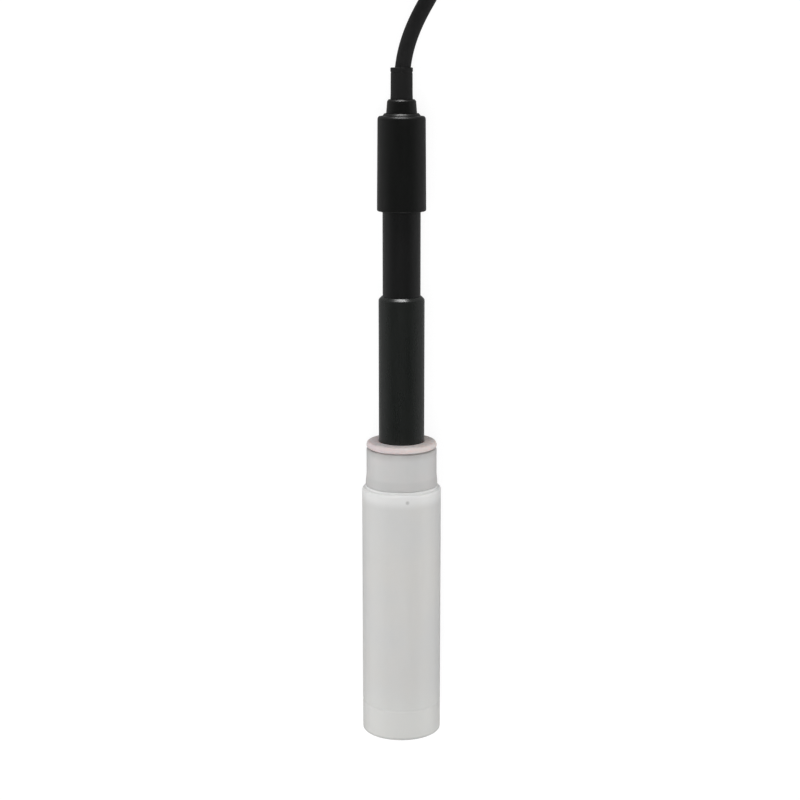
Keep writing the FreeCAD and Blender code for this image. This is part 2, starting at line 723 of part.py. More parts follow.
def plug_boot():
    """Tapered boot with grooves that let it bend."""
    back = -PLUG_BODY_LENGTH - BOOT_LENGTH
    foot = -PLUG_BODY_LENGTH
    bore = CABLE_RADIUS + CABLE_PLAY / 2
    cone = turned(
        (0, back),
        (BOOT_TIP_DIAMETER / 2, back, SOFT_EDGE),
        (BOOT_FOOT_DIAMETER / 2, foot),
        (0, foot),
    )
    pitch = BOOT_LENGTH / (BOOT_GROOVES + 1)
    for i in range(BOOT_GROOVES):
        low = back + pitch * (i + 1) - BOOT_GROOVE_WIDTH / 2
        share = (low - back) / BOOT_LENGTH
        surface = (BOOT_TIP_DIAMETER + (BOOT_FOOT_DIAMETER - BOOT_TIP_DIAMETER) * share) / 2
        cut = turned(
            (surface - BOOT_GROOVE_DEPTH, low),
            (surface + BOOT_GROOVE_DEPTH, low),
            (surface + BOOT_GROOVE_DEPTH, low + BOOT_GROOVE_WIDTH),
            (surface - BOOT_GROOVE_DEPTH, low + BOOT_GROOVE_WIDTH),
        )
        cone = cone.cut(cut)
    return plug_piece(cone.cut(rod(2 * bore, back - 1, back + CABLE_DIAMETER)))


def plug_body():
    """Round grip with two flats, on the front of which the metal shell stands."""
    body = turned(
        (0, -PLUG_BODY_LENGTH),
        (PLUG_BODY_DIAMETER / 2, -PLUG_BODY_LENGTH, PLUG_BODY_EDGE),
        (PLUG_BODY_DIAMETER / 2, 0, PLUG_BODY_EDGE),
        (0, 0),
    )
    margin = (PLUG_BODY_LENGTH - PLUG_FLAT_LENGTH) / 2
    for side in (-1, 1):
        middle = side * (PLUG_BODY_DIAMETER / 2 - PLUG_FLAT_DEPTH / 2)
        corner = Vector(-PLUG_BODY_DIAMETER / 2, middle - PLUG_FLAT_DEPTH / 2, -PLUG_BODY_LENGTH + margin)
        body = body.cut(Part.makeBox(PLUG_BODY_DIAMETER, PLUG_FLAT_DEPTH, PLUG_FLAT_LENGTH, corner))
    return plug_piece(body)


def shell_notch():
    """The shell's locating groove, as a bar that is cut from shell and insert."""
    top = SHELL_DIAMETER / 2
    corner = Vector(-top - 1, -SHELL_NOTCH_WIDTH / 2, 0)
    return Part.makeBox(SHELL_NOTCH_DEPTH + 1, SHELL_NOTCH_WIDTH, SHELL_LENGTH + 1, corner)


def plug_shell():
    """Thin metal tube round the pins, with a locating groove pressed in at one side."""
    outer = SHELL_DIAMETER / 2
    tube_wall = turned((outer - SHELL_WALL, 0), (outer, 0), (outer, SHELL_LENGTH), (outer - SHELL_WALL, SHELL_LENGTH))
    inner_corner = Vector(-outer + SHELL_NOTCH_DEPTH, -SHELL_NOTCH_WIDTH / 2 - SHELL_WALL, 0)
    floor = Part.makeBox(SHELL_WALL, SHELL_NOTCH_WIDTH + 2 * SHELL_WALL, SHELL_LENGTH, inner_corner)
    sides = []
    for side in (-1, 1):
        low = min(side * SHELL_NOTCH_WIDTH / 2, side * (SHELL_NOTCH_WIDTH / 2 + SHELL_WALL))
        sides.append(Part.makeBox(SHELL_NOTCH_DEPTH, SHELL_WALL, SHELL_LENGTH, Vector(-outer, low, 0)))
    cover = rod(SHELL_DIAMETER, 0, SHELL_LENGTH)
    folded = floor.fuse(sides).common(cover)
    return plug_piece(tube_wall.cut(shell_notch()).fuse(folded).removeSplitter())


def pin_places():
    return [Vector(x, y, 0) for x, y in PIN_ROWS]


def plug_insert():
    """Insulating disc that carries the pins, with the square key that stands in front of it."""
    depth = SHELL_LENGTH - INSERT_FRONT
    disc = rod(SHELL_DIAMETER - 2 * SHELL_WALL - 2 * GLUE_GAP, 0, depth)
    groove = Part.makeBox(
        SHELL_NOTCH_DEPTH + SHELL_WALL + GLUE_GAP + 1,
        SHELL_NOTCH_WIDTH + 2 * SHELL_WALL + 2 * GLUE_GAP,
        depth,
        Vector(-SHELL_DIAMETER / 2 - 1, -SHELL_NOTCH_WIDTH / 2 - SHELL_WALL - GLUE_GAP, 0),
    )
    key_corner = Vector(-KEY_HEIGHT / 2, -KEY_WIDTH / 2, 0)
    key = Part.makeBox(KEY_HEIGHT, KEY_WIDTH, depth + PIN_LENGTH, key_corner)
    return plug_piece(disc.cut(groove).fuse(key).removeSplitter())


def plug_pins():
    """Six round pins with rounded tips, standing on the insert."""
    foot = SHELL_LENGTH - INSERT_FRONT
    pins = []
    for place in pin_places():
        pin = Part.makeCylinder(PIN_DIAMETER / 2, PIN_LENGTH, place + Vector(0, 0, foot))
        tip = [edge for edge in pin.Edges if edge.BoundBox.ZMin > foot + PIN_LENGTH - 1e-3]
        pins.append(pin.makeFillet(PIN_DIAMETER / 4, tip))
    return plug_piece(Part.makeCompound(pins))


UPRIGHT = (
    storage_bottle,
    bottle_cap,
    cap_seal,
    lower_barrel,
    upper_shaft,
    shaft_o_ring,
    head_cap,
    gland_collar,
    strain_relief_sleeve,
    cable_end,
    potting_plug,
    electrode_stem,
    stem_o_ring,
    cathode,
    anode_sleeve,
    cathode_wire,
    anode_wire,
    thermistor,
    thermistor_leads,
    membrane_cap,
    membrane_film,
    film_ring,
    membrane_gasket,
)
LYING_ALREADY = (cable_hank, cable_tie, plug_boot, plug_body, plug_shell, plug_insert, plug_pins)

nodes = {make.__name__: laid_down(make()) for make in UPRIGHT}
nodes.update({make.__name__: make() for make in LYING_ALREADY})
nodes["cable_lead"] = tube(lead_points(), "cable_lead")
nodes["cable_tail"] = tube(tail_points(), "cable_tail")

os.makedirs("parts", exist_ok=True)
for name, shape in nodes.items():
    shape.exportStep(f"parts/{name}.step")

print(f"axis leans {math.degrees(LEAN):.3f} degrees, base centre {tuple(LYING.Base)}")
print(f"sleeve mouth {tuple(MOUTH)}, plug face at x {PLUG_FACE:.2f}")
for name, shape in nodes.items():
    box = shape.BoundBox
    print(
        f"{name}: {shape.Volume / 1000:.3f} cm3, {len(shape.Solids)} solids, valid {shape.isValid()}, "
        f"x {box.XMin:.2f} {box.XMax:.2f}, y {box.YMin:.2f} {box.YMax:.2f}, z {box.ZMin:.2f} {box.ZMax:.2f}"
    )
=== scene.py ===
# %% [markdown]
# # A dissolved oxygen electrode in its storage bottle
# The real object is a slim black probe, about 20 cm long, whose wet tip is kept in a milky plastic bottle.
# It lies on a pale surface and is seen from above. The imported CAD model is the fixed frame for all that
# follows: every piece made here takes the place of a CAD node or stays in the node's own shape, so we load
# the frame first.

# %% Load the frame
import json
import math

import bmesh
import bpy
from mathutils import Matrix, Vector


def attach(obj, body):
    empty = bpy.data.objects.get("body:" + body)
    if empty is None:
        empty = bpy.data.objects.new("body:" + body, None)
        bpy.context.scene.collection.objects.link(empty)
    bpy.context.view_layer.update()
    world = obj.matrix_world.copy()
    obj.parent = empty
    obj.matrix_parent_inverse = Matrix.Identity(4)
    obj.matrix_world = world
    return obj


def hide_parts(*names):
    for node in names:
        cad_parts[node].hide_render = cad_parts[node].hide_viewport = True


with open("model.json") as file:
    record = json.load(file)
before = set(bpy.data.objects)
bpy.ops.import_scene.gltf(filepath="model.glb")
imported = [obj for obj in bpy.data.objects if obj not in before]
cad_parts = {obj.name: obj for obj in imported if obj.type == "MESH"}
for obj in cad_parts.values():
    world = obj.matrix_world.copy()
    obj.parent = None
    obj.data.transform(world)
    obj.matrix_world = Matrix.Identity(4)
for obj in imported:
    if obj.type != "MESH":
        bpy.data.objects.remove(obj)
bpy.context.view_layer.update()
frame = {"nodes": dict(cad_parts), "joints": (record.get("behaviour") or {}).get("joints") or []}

cad = frame["nodes"]

# %% [markdown]
# ## Upright millimetres
# Almost every piece is turned on one axis. It is easiest to draw such a piece upright, in millimetres, with
# z = 0 at the bottle's base, as a lathe hand would, and to lay it down in one step. The levels and radii
# below are the CAD model's own, and pieces that meet share a name, so that they can't drift apart.

# %% Levels above the bottle's base, in millimetres
FIT = 0.05
BOTTLE_HEIGHT, NECK_TOP = 82.5, 93.8
CAP_BOTTOM, CAP_TOP = 83.4, 95.5
SEAL_BOTTOM, SEAL_TOP = CAP_TOP + FIT, 97.75
BARREL_BOTTOM, BARREL_TOP = 34.0, 144.65
SHAFT_BOTTOM, SHAFT_TOP = 130.65, 185.55
HEAD_BOTTOM, HEAD_EDGE, HEAD_TOP = 171.55, 200.3, 201.75
CAVITY_TOP, COLLAR_TOP = 197.6, 206.0
SLEEVE_TOP = 215.65
CABLE_START = SLEEVE_TOP - 5.0
print("from the bottle's base to the sleeve's mouth:", SLEEVE_TOP, "mm")

# %% Radii, in millimetres
WALL = 1.1
BOTTLE_RADIUS, NECK_RADIUS, CAP_RADIUS = 12.75, 9.6, 11.3
BARREL_RADIUS, SHAFT_RADIUS, HEAD_RADIUS = 7.3, 6.0, 7.5
SHAFT_SOCKET = SHAFT_RADIUS + FIT
CABLE_HOLE = 2.5
print("barrel", 2 * BARREL_RADIUS, "mm, shaft", 2 * SHAFT_RADIUS, "mm, bottle", 2 * BOTTLE_RADIUS, "mm")

# %% [markdown]
# ## Laying a piece down
# The cap's screw joint in the record says where the axis lies, so the matrix below is read from the joint
# and not typed in again.

# %% The matrix that lays an upright piece down
cap_turn = next(joint for joint in frame["joints"] if joint["name"] == "cap_turn")
ALONG = Vector(cap_turn["axis"]).normalized()
ASIDE = Vector((0.0, 1.0, 0.0))
TOWARDS_FLOOR = ASIDE.cross(ALONG)
BASE = Vector(cap_turn["pos_m"]) - ALONG * CAP_BOTTOM / 1000
TURN = Matrix((TOWARDS_FLOOR, ASIDE, ALONG)).transposed()
LAY_DOWN = Matrix.Translation(BASE) @ TURN.to_4x4() @ Matrix.Scale(0.001, 4)


def on_axis(level):
    """The point of the probe's axis at this height above the bottle's base, in metres."""
    return LAY_DOWN @ Vector((0.0, 0.0, level))


print("axis leans", round(math.degrees(math.asin(-ALONG.z)), 3), "degrees, base at", tuple(BASE))

# %% [markdown]
# ## The camera
# The photograph is taken from above and a little beyond the head, so we see the seal's upper side and the
# bottle's rounded base as shallow curves. The camera stands over the level 225 mm and looks back by
# 12 degrees towards the bottle. A long lens gives the weak perspective of the photograph.

# %% Camera at the photograph's viewing angle
CAMERA_LEVEL, CAMERA_DISTANCE, CAMERA_ASIDE = 225.6, 0.539, 0.0005
CAMERA_TILT = math.radians(12)
above = -TOWARDS_FLOOR
lens = bpy.data.cameras.new("camera")
lens.lens = 77.4
lens.sensor_width = 36.0
camera = bpy.data.objects.new("camera", lens)
bpy.context.scene.collection.objects.link(camera)
looks_along = -above * math.cos(CAMERA_TILT) - ALONG * math.sin(CAMERA_TILT)
image_up = ALONG * math.cos(CAMERA_TILT) - above * math.sin(CAMERA_TILT)
image_right = looks_along.cross(image_up)
camera.matrix_world = (
    Matrix.Translation(on_axis(CAMERA_LEVEL) + above * CAMERA_DISTANCE + ASIDE * CAMERA_ASIDE)
    @ Matrix((image_right, image_up, -looks_along)).transposed().to_4x4()
)
bpy.context.scene.camera = camera
bpy.context.scene.view_settings.view_transform = "Standard"
print("camera at", [round(v, 3) for v in camera.matrix_world.translation])

# %% [markdown]
# ## The cable
# The real cable is one black round cable of 4.9 mm, 1 m long. It leaves the sleeve, sinks to the surface,
# is folded three times into a tied hank, and comes back over the hank to its plug. A curve with a round
# bevel is the natural way to make it: a NURBS spline stays smooth whatever points we give it. The order is
# set after the points, because before them it would fall back to straight runs.

# %% The points of the cable's route
CABLE_DIAMETER = 0.0049
MOUTH = on_axis(SLEEVE_TOP)
LEAD_STEPS = (
    (0.0, -0.2, 6.80),
    (7.5, -1.8, 6.25),
    (15.0, -4.9, 5.35),
    (23.0, -9.6, 4.15),
    (33.0, -14.7, 3.00),
    (45.0, -18.9, 2.50),
    (57.0, -21.3, 2.50),
)
HANK_NEAR = MOUTH.x * 1000 + 66.0
HANK_RUN, HANK_MIDDLE_Y = 90.0, -6.0
FOLD_ANGLES = [36.8 * step for step in range(-3, 4)]
FOLD_REACH, FOLD_SLACK = 16.73, (0.0, 0.1, 0.05)
WAIST_STEPS = ((29.1, 7.7), (14.7, 2.45))
LAYERS_AT_FOLD = (2.45, 7.75, 13.05, 18.0)
LAYERS_AT_WAIST = (3.45, 8.35, 13.25)
RISE = (0.0, 0.0, 0.15, 0.5, 0.85, 1.0, 1.0)
PLUG_LEVEL = 21.75
TAIL_STEPS = (
    (-1.0, -15.8, 18.0),
    (14.0, -11.0, 18.6),
    (29.0, -4.2, 19.6),
    (44.0, -0.6, 20.6),
    (57.0, 0.3, 21.5),
    (69.4, 0.0, PLUG_LEVEL),
    (75.0, 0.0, PLUG_LEVEL),
)


def hank_turn(layer):
    """One turn of the hank, in millimetres from its middle: out on the -Y side and back on the +Y side."""
    low, high = LAYERS_AT_FOLD[layer], LAYERS_AT_FOLD[layer + 1]
    waist = LAYERS_AT_WAIST[layer]
    to_waist = [(x, y, z) for (x, y), z in zip(WAIST_STEPS, ((low + waist) / 2, waist))]
    from_waist = to_waist[::-1]
    out = [(-x, -y, z) for x, y, z in to_waist] + [(x, -y, z) for x, y, z in from_waist]
    back = to_waist + [(-x, y, z) for x, y, z in from_waist]
    half, reach = HANK_RUN / 2, FOLD_REACH - FOLD_SLACK[layer]
    far_fold, near_fold = [], []
    for angle, share in zip(FOLD_ANGLES, RISE):
        x, y = reach * math.cos(math.radians(angle)), reach * math.sin(math.radians(angle))
        far_fold.append((half + x, y, low))
        near_fold.append((-half - x, -y, low + share * (high - low)))
    return out + far_fold + back + near_fold


route = [on_axis(CABLE_START)]
route += [Vector((MOUTH.x * 1000 + x, y, z)) / 1000 for x, y, z in LEAD_STEPS]
for layer in range(3):
    turn_points = hank_turn(layer)
    if layer == 2:
        turn_points = turn_points[:-1]
    middle = Vector((HANK_NEAR + HANK_RUN / 2, HANK_MIDDLE_Y, 0.0))
    route += [(middle + Vector(point)) / 1000 for point in turn_points]
route += [Vector((HANK_NEAR + x, HANK_MIDDLE_Y + y, z)) / 1000 for x, y, z in TAIL_STEPS]
print("the route has", len(route), "points")

# %% The cable itself
cable_curve = bpy.data.curves.new("cable", "CURVE")
cable_curve.dimensions = "3D"
spline = cable_curve.splines.new("NURBS")
spline.points.add(len(route) - 1)
for point, place in zip(spline.points, route):
    point.co = (*place, 1.0)
spline.order_u = 3
spline.use_endpoint_u = True
spline.resolution_u = 10
cable_curve.bevel_depth = CABLE_DIAMETER / 2
cable_curve.bevel_resolution = 10
cable_curve.use_fill_caps = True
cable = bpy.data.objects.new("cable", cable_curve)
bpy.context.scene.collection.objects.link(cable)
print("cable of", CABLE_DIAMETER * 1000, "mm made")

# %% [markdown]
# ## Light, floor and background
# The photograph has flat, soft light from all sides and a pure white background. Two things matter. The
# milky bottle has to stay light grey, so the level is plain. The black plastic has to stay black in the
# middle with a dim band along each edge, so what it mirrors is dark above and brighter near the horizon:
# a world that fades with height does that, and the wide lamps are kept out of reflections.
#
# The chamfers of barrel, crown and collar carry a bright glint each, about half as wide as the piece. Its
# width comes from the width of what is mirrored there, so it gets a wide lamp of its own that is seen in
# glossy surfaces only. That leaves the light on the bottle as it is.

# %% Node helper
def add(owner, kind, links=(), **settings):
    """Adds a node to a world or material. Each link is (socket, value or output); settings are options."""
    node = owner.node_tree.nodes.new("ShaderNode" + kind)
    for option, value in settings.items():
        setattr(node, option, value)
    for socket, value in links:
        if isinstance(value, bpy.types.NodeSocket):
            owner.node_tree.links.new(value, node.inputs[socket])
        else:
            node.inputs[socket].default_value = value
    return node


print("node helper ready")

# %% World
AT_HORIZON, OVERHEAD = 0.30, 0.08
world = bpy.data.worlds.new("studio")
bpy.context.scene.world = world
world.use_nodes = True
background = world.node_tree.nodes["Background"]
background.inputs["Color"].default_value = (1.0, 1.0, 1.0, 1.0)
sky_height = add(world, "SeparateXYZ", [(0, add(world, "TexCoord").outputs["Generated"])]).outputs["Z"]
fade_range = [("From Min", 0.15), ("From Max", 0.75), ("To Min", AT_HORIZON), ("To Max", OVERHEAD)]
fade = add(world, "MapRange", [("Value", sky_height), *fade_range]).outputs["Result"]
seen = add(world, "LightPath").outputs["Is Camera Ray"]
strength = add(world, "Mix", [("Factor", seen), ("A", fade), ("B", 1.0)]).outputs["Result"]
world.node_tree.links.new(strength, background.inputs["Strength"])
print("world of strength", AT_HORIZON, "at the horizon and", OVERHEAD, "overhead")


# %% Lamps
def area_lamp(name, place, aim, width, height, watts, lights=True, mirrored=True):
    """A rectangular lamp that faces a point. It can be kept out of reflections, or be seen in them only."""
    light = bpy.data.lights.new(name, "AREA")
    light.shape = "RECTANGLE"
    light.size, light.size_y, light.energy = width, height, watts
    lamp = bpy.data.objects.new(name, light)
    lamp.location = place
    lamp.rotation_euler = (Vector(aim) - Vector(place)).to_track_quat("-Z", "Y").to_euler()
    lamp.visible_diffuse = lights
    lamp.visible_glossy = mirrored
    bpy.context.scene.collection.objects.link(lamp)


MIDDLE = (0.0, 0.0, 0.01)
area_lamp("lamp_above", (-0.05, 0.05, 0.9), MIDDLE, 0.7, 0.7, 4.8, mirrored=False)
area_lamp("lamp_left", (-0.05, 0.75, 0.20), MIDDLE, 0.9, 0.4, 3.5, mirrored=False)
area_lamp("lamp_right", (-0.05, -0.75, 0.20), MIDDLE, 0.9, 0.4, 3.3, mirrored=False)
area_lamp("lamp_end", (0.80, 0.03, 0.105), (0.05, 0, 0.01), 0.18, 0.12, 2.6, mirrored=False)
area_lamp("lamp_glint", (0.80, 0.02, 0.105), (0.05, 0, 0.01), 0.42, 0.12, 6.0, lights=False)
area_lamp("lamp_foot", (-0.75, 0.03, 0.40), (0.03, 0, 0.01), 0.25, 0.25, 1.1)
print("six lamps")

# %% [markdown]
# ## The floor
# The floor keeps the object's shadow and still has to look white. Its colour stays a plain grey, and the
# whiteness is a share of emission that camera rays alone see, so it puts no light on the object. A bare
# floor shades off towards the horizon, so that share grows with the distance from the object.

# %% Floor
FLOOR_GREY, FLOOR_WHITE = 0.42, 1.47
floor_paint = bpy.data.materials.new("floor")
floor_paint.use_nodes = True
floor_paint.node_tree.nodes.clear()
matt = add(floor_paint, "BsdfDiffuse", [("Color", (FLOOR_GREY, FLOOR_GREY, FLOOR_GREY, 1.0))])
white = add(floor_paint, "Emission", [("Strength", FLOOR_WHITE)])
spot = add(floor_paint, "TexCoord").outputs["Object"]
away = add(floor_paint, "VectorMath", [(0, spot)], operation="LENGTH").outputs["Value"]
white_range = [("From Min", 0.35), ("From Max", 0.9), ("To Min", 0.6), ("To Max", 0.8)]
whiter = add(floor_paint, "MapRange", [("Value", away), *white_range]).outputs["Result"]
seen = add(floor_paint, "LightPath").outputs["Is Camera Ray"]
share = add(floor_paint, "Math", [(0, seen), (1, whiter)], operation="MULTIPLY").outputs[0]
mixed = add(floor_paint, "MixShader", [(0, share), (1, matt.outputs[0]), (2, white.outputs[0])])
add(floor_paint, "OutputMaterial", [("Surface", mixed.outputs[0])])

floor_mesh = bpy.data.meshes.new("floor")
bm = bmesh.new()
bmesh.ops.create_grid(bm, x_segments=1, y_segments=1, size=2.5)
bm.to_mesh(floor_mesh)
bm.free()
floor_mesh.materials.append(floor_paint)
floor = bpy.data.objects.new("floor", floor_mesh)
bpy.context.scene.collection.objects.link(floor)
print("floor", [round(side, 2) for side in floor.dimensions[:2]], "m")

# %% [markdown]
# ## Tools for the finishes
# Every finish starts from one Principled shader, whose even values are set on its own sockets. Patterns are
# added with a few nodes. They read Object coordinates through a Mapping node that undoes the laying down,
# so that a pattern is also drawn in upright millimetres: a grain of 0.2 mm is 0.2 there.


# %% A finish and its coordinates
MILLIMETRE = (0.001, 0.001, 0.001)


def finish(name, colour, roughness, **values):
    """A material whose shader gets the values that are the same all over."""
    material = bpy.data.materials.new(name)
    material.use_nodes = True
    shader = material.node_tree.nodes["Principled BSDF"]
    shader.inputs["Base Color"].default_value = (*colour, 1.0)
    shader.inputs["Roughness"].default_value = roughness
    for socket, value in values.items():
        shader.inputs[socket.replace("_", " ")].default_value = value
    return material


def upright(material):
    """Coordinates in the upright millimetres in which the turned pieces are drawn."""
    place = add(material, "TexCoord").outputs["Object"]
    links = [("Vector", place), ("Location", BASE), ("Rotation", TURN.to_euler()), ("Scale", MILLIMETRE)]
    return add(material, "Mapping", links, vector_type="TEXTURE").outputs["Vector"]


def flat_millimetres(material):
    """Coordinates in millimetres along the row's own axes, for the pieces that lie on the floor."""
    place = add(material, "TexCoord").outputs["Object"]
    links = [("Vector", place), ("Scale", MILLIMETRE)]
    return add(material, "Mapping", links, vector_type="TEXTURE").outputs["Vector"]


print("finishes and coordinates ready")


# %% Patterns and what they drive
def stretched(material, place, x, y, z):
    """The same coordinates, scaled, so that a noise read from them gets drawn out."""
    return add(material, "VectorMath", [(0, place), (1, (x, y, z))], operation="MULTIPLY").outputs[0]


def noise(material, place, size, detail=3.0, rough=0.5):
    """Soft random values from 0 to 1, with features of about size millimetres."""
    links = [("Vector", place), ("Scale", 1 / size), ("Detail", detail), ("Roughness", rough)]
    return add(material, "TexNoise", links).outputs["Fac"]


def between(material, value, low, high, to_low, to_high):
    """Maps a value from one range to another, with smooth ends."""
    links = [("Value", value), ("From Min", low), ("From Max", high), ("To Min", to_low), ("To Max", to_high)]
    return add(material, "MapRange", links, interpolation_type="SMOOTHSTEP").outputs["Result"]


def parts_of(material, place):
    """The X, Y and Z of a place, as three outputs."""
    return add(material, "SeparateXYZ", [(0, place)]).outputs


def reckon(material, operation, first, second=0.0):
    """One step of arithmetic on two values."""
    return add(material, "Math", [(0, first), (1, second)], operation=operation).outputs[0]


def blend_colour(material, factor, first, second):
    """Mixes two colours, each a colour or the output of another mix."""
    links = [(0, factor)]
    for socket, colour in ((6, first), (7, second)):
        links.append((socket, colour if isinstance(colour, bpy.types.NodeSocket) else (*colour, 1.0)))
    return add(material, "Mix", links, data_type="RGBA").outputs[2]


def drive(material, socket, output):
    """Links a pattern to a socket of the shader."""
    material.node_tree.links.new(output, material.node_tree.nodes["Principled BSDF"].inputs[socket])


def uneven_gloss(material, pattern, smooth, rough):
    """Lets the roughness follow a pattern."""
    drive(material, "Roughness", between(material, pattern, 0.3, 0.7, smooth, rough))


def emboss(material, *heights):
    """Adds one or more bump patterns, each (height, depth in millimetres), one upon the other."""
    normal = None
    for height, depth in heights:
        links = [("Height", height), ("Distance", depth / 1000), ("Strength", 1.0)]
        if normal is not None:
            links.append(("Normal", normal))
        normal = add(material, "Bump", links).outputs["Normal"]
    drive(material, "Normal", normal)


print("patterns ready")

# %% [markdown]
# ## The milky polyethylene
# Bottle and cap are blow-moulded and injection-moulded polyethylene. Light enters it, scatters a little and
# comes out again, which is why its shading is so flat. A small subsurface share does that. The bottle has
# painted light at its foot, a painted highlight on its shoulder, and painted shade on the rim at its base.
# It has a fine satin grain, a barely visible unevenness from blowing, a dark speck near the shoulder, and a
# line on each side where the two halves of the mould met.

# %% Polyethylene
def polyethylene(name, colour, warm, tint_size):
    """Milky plastic with faint clouds; returns it with its coordinates and its colour so far."""
    material = finish(
        name,
        colour,
        0.42,
        IOR=1.51,
        Specular_IOR_Level=0.45,
        Subsurface_Weight=0.35,
        Subsurface_Scale=0.0015,
        Subsurface_Radius=(1.0, 0.95, 0.9),
    )
    place = upright(material)
    clouds = noise(material, place, tint_size, 2.0)
    tinted = blend_colour(material, between(material, clouds, 0.35, 0.65, 0.0, 1.0), colour, warm)
    return material, place, tinted


print("polyethylene ready")

# %% The bottle's plastic
GREY_WHITE, WARM_WHITE = (0.585, 0.585, 0.578), (0.60, 0.592, 0.575)
SPECK = (-BOTTLE_RADIUS, -1.9, 80.3)
bottle_finish, place, tinted = polyethylene("bottle_plastic", GREY_WHITE, WARM_WHITE, 26.0)
level = parts_of(bottle_finish, place)["Z"]
from_speck = add(bottle_finish, "VectorMath", [(0, place), (1, SPECK)], operation="DISTANCE").outputs["Value"]
BOTTLE_TINTS = {
    # Painted light: the foot is painted paler.
    "painted light at the foot": (level, 22.0, 5.0, 1.0, (0.622, 0.622, 0.606)),
    # Painted shade: the rim at the base is painted darker.
    "painted shade on the rim it stands on": (level, 1.1, 0.1, 0.75, (0.36, 0.36, 0.355)),
    # Painted highlight: the shoulder is painted paler.
    "painted highlight on the shoulder": (level, 77.5, 81.0, 1.0, (0.70, 0.70, 0.695)),
    "speck": (from_speck, 0.9, 0.2, 0.5, (0.24, 0.24, 0.23)),
}
for value, begins, full, amount, colour in BOTTLE_TINTS.values():
    covers = between(bottle_finish, value, begins, full, 0.0, amount)
    tinted = blend_colour(bottle_finish, covers, tinted, colour)
drive(bottle_finish, "Base Color", tinted)
grain = noise(bottle_finish, place, 0.25, 2.0)
waves = noise(bottle_finish, stretched(bottle_finish, place, 1.0, 1.0, 0.25), 7.0, 1.0)
off_seam = reckon(bottle_finish, "ABSOLUTE", parts_of(bottle_finish, place)["X"])
seam = between(bottle_finish, off_seam, 0.05, 0.3, 1.0, 0.0)
emboss(bottle_finish, (waves, 0.12), (grain, 0.012), (seam, 0.05))
drive(bottle_finish, "Roughness", between(bottle_finish, waves, 0.2, 0.8, 0.36, 0.48))
print("bottle plastic with", len(BOTTLE_TINTS), "tints")

# %% [markdown]
# ## The cap's plastic
# The cap is the same plastic, a little greyer. Right under the seal it has painted shade, broken up by a
# noise so that it has no straight edge, and near its foot a faint painted shade.

# %% The cap's plastic
cap_finish, place, tinted = polyethylene("cap_plastic", (0.545, 0.545, 0.54), (0.565, 0.55, 0.545), 9.0)
level = parts_of(cap_finish, place)["Z"]
broken_up = between(cap_finish, noise(cap_finish, place, 4.0, 3.0), 0.25, 0.7, 0.45, 1.0)
# Painted shade: the plastic right under the seal is painted darker, broken up by a noise.
under_seal_shade_band = between(cap_finish, level, CAP_TOP - 2.7, CAP_TOP + 0.1, 0.0, 0.5)
painted_seal_shade = reckon(cap_finish, "MULTIPLY", under_seal_shade_band, broken_up)
tinted = blend_colour(cap_finish, painted_seal_shade, tinted, (0.30, 0.285, 0.28))
# Painted shade: the cap is painted faintly darker near its foot.
painted_foot_shade = between(cap_finish, level, CAP_BOTTOM + 3.5, CAP_BOTTOM + 2.5, 0.0, 0.25)
tinted = blend_colour(cap_finish, painted_foot_shade, tinted, (0.43, 0.43, 0.425))
drive(cap_finish, "Base Color", tinted)
grain = noise(cap_finish, place, 0.2, 2.0)
flow = noise(cap_finish, stretched(cap_finish, place, 1.0, 1.0, 0.3), 3.0, 2.0)
emboss(cap_finish, (flow, 0.04), (grain, 0.01))
drive(cap_finish, "Roughness", between(cap_finish, flow, 0.2, 0.8, 0.38, 0.5))
print("cap plastic ready")

# %% [markdown]
# ## Silicone, rubber and resin
# The seal is pinkish silicone, more pink on one side than on the other and a little dusty. The gasket is
# the deeper red that such gaskets have, the O-rings are black rubber, and the stem is turned from cast
# resin with the fine rings that a tool leaves.

# %% Silicone of the seal
PLAIN_SIDE, PINK_SIDE = (0.665, 0.60, 0.58), (0.63, 0.55, 0.555)
DUSTY, TOP_MOTTLE = (0.72, 0.67, 0.65), (0.47, 0.41, 0.40)
seal_finish = finish(
    "seal_silicone",
    PLAIN_SIDE,
    0.55,
    Subsurface_Weight=0.4,
    Subsurface_Scale=0.001,
    Subsurface_Radius=(1.0, 0.7, 0.6),
)
place = upright(seal_finish)
parts = parts_of(seal_finish, place)
pinkness = between(seal_finish, parts["Y"], -9.0, 9.0, 0.0, 1.0)
tinted = blend_colour(seal_finish, pinkness, PLAIN_SIDE, PINK_SIDE)
clouds = noise(seal_finish, place, 3.5, 3.0)
tinted = blend_colour(seal_finish, between(seal_finish, clouds, 0.45, 0.7, 0.0, 0.6), tinted, DUSTY)
mottled = between(seal_finish, noise(seal_finish, place, 0.9, 3.0), 0.4, 0.65, 0.15, 1.0)
# The top face gets darker patches, mottled by a noise.
top_face = between(seal_finish, parts["Z"], SEAL_TOP - 0.45, SEAL_TOP - 0.05, 0.0, 0.6)
top_mottle_mask = reckon(seal_finish, "MULTIPLY", top_face, mottled)
drive(seal_finish, "Base Color", blend_colour(seal_finish, top_mottle_mask, tinted, TOP_MOTTLE))
emboss(seal_finish, (clouds, 0.08), (noise(seal_finish, place, 0.3, 3.0), 0.02))
print("seal silicone ready")

# %% Gasket, O-rings and resins
gasket_finish = finish(
    "gasket_silicone", (0.45, 0.07, 0.05), 0.5, Subsurface_Weight=0.2, Subsurface_Scale=0.0008
)
place = upright(gasket_finish)
emboss(gasket_finish, (noise(gasket_finish, place, 0.4, 3.0), 0.02))

ring_finish = finish("ring_rubber", (0.018, 0.018, 0.018), 0.5)
place = upright(ring_finish)
emboss(ring_finish, (noise(ring_finish, place, 0.15, 3.0), 0.01))

resin_finish = finish("casting_resin", (0.03, 0.03, 0.035), 0.25, Coat_Weight=0.3)
place = upright(resin_finish)
emboss(resin_finish, (noise(resin_finish, place, 2.0, 2.0), 0.1))

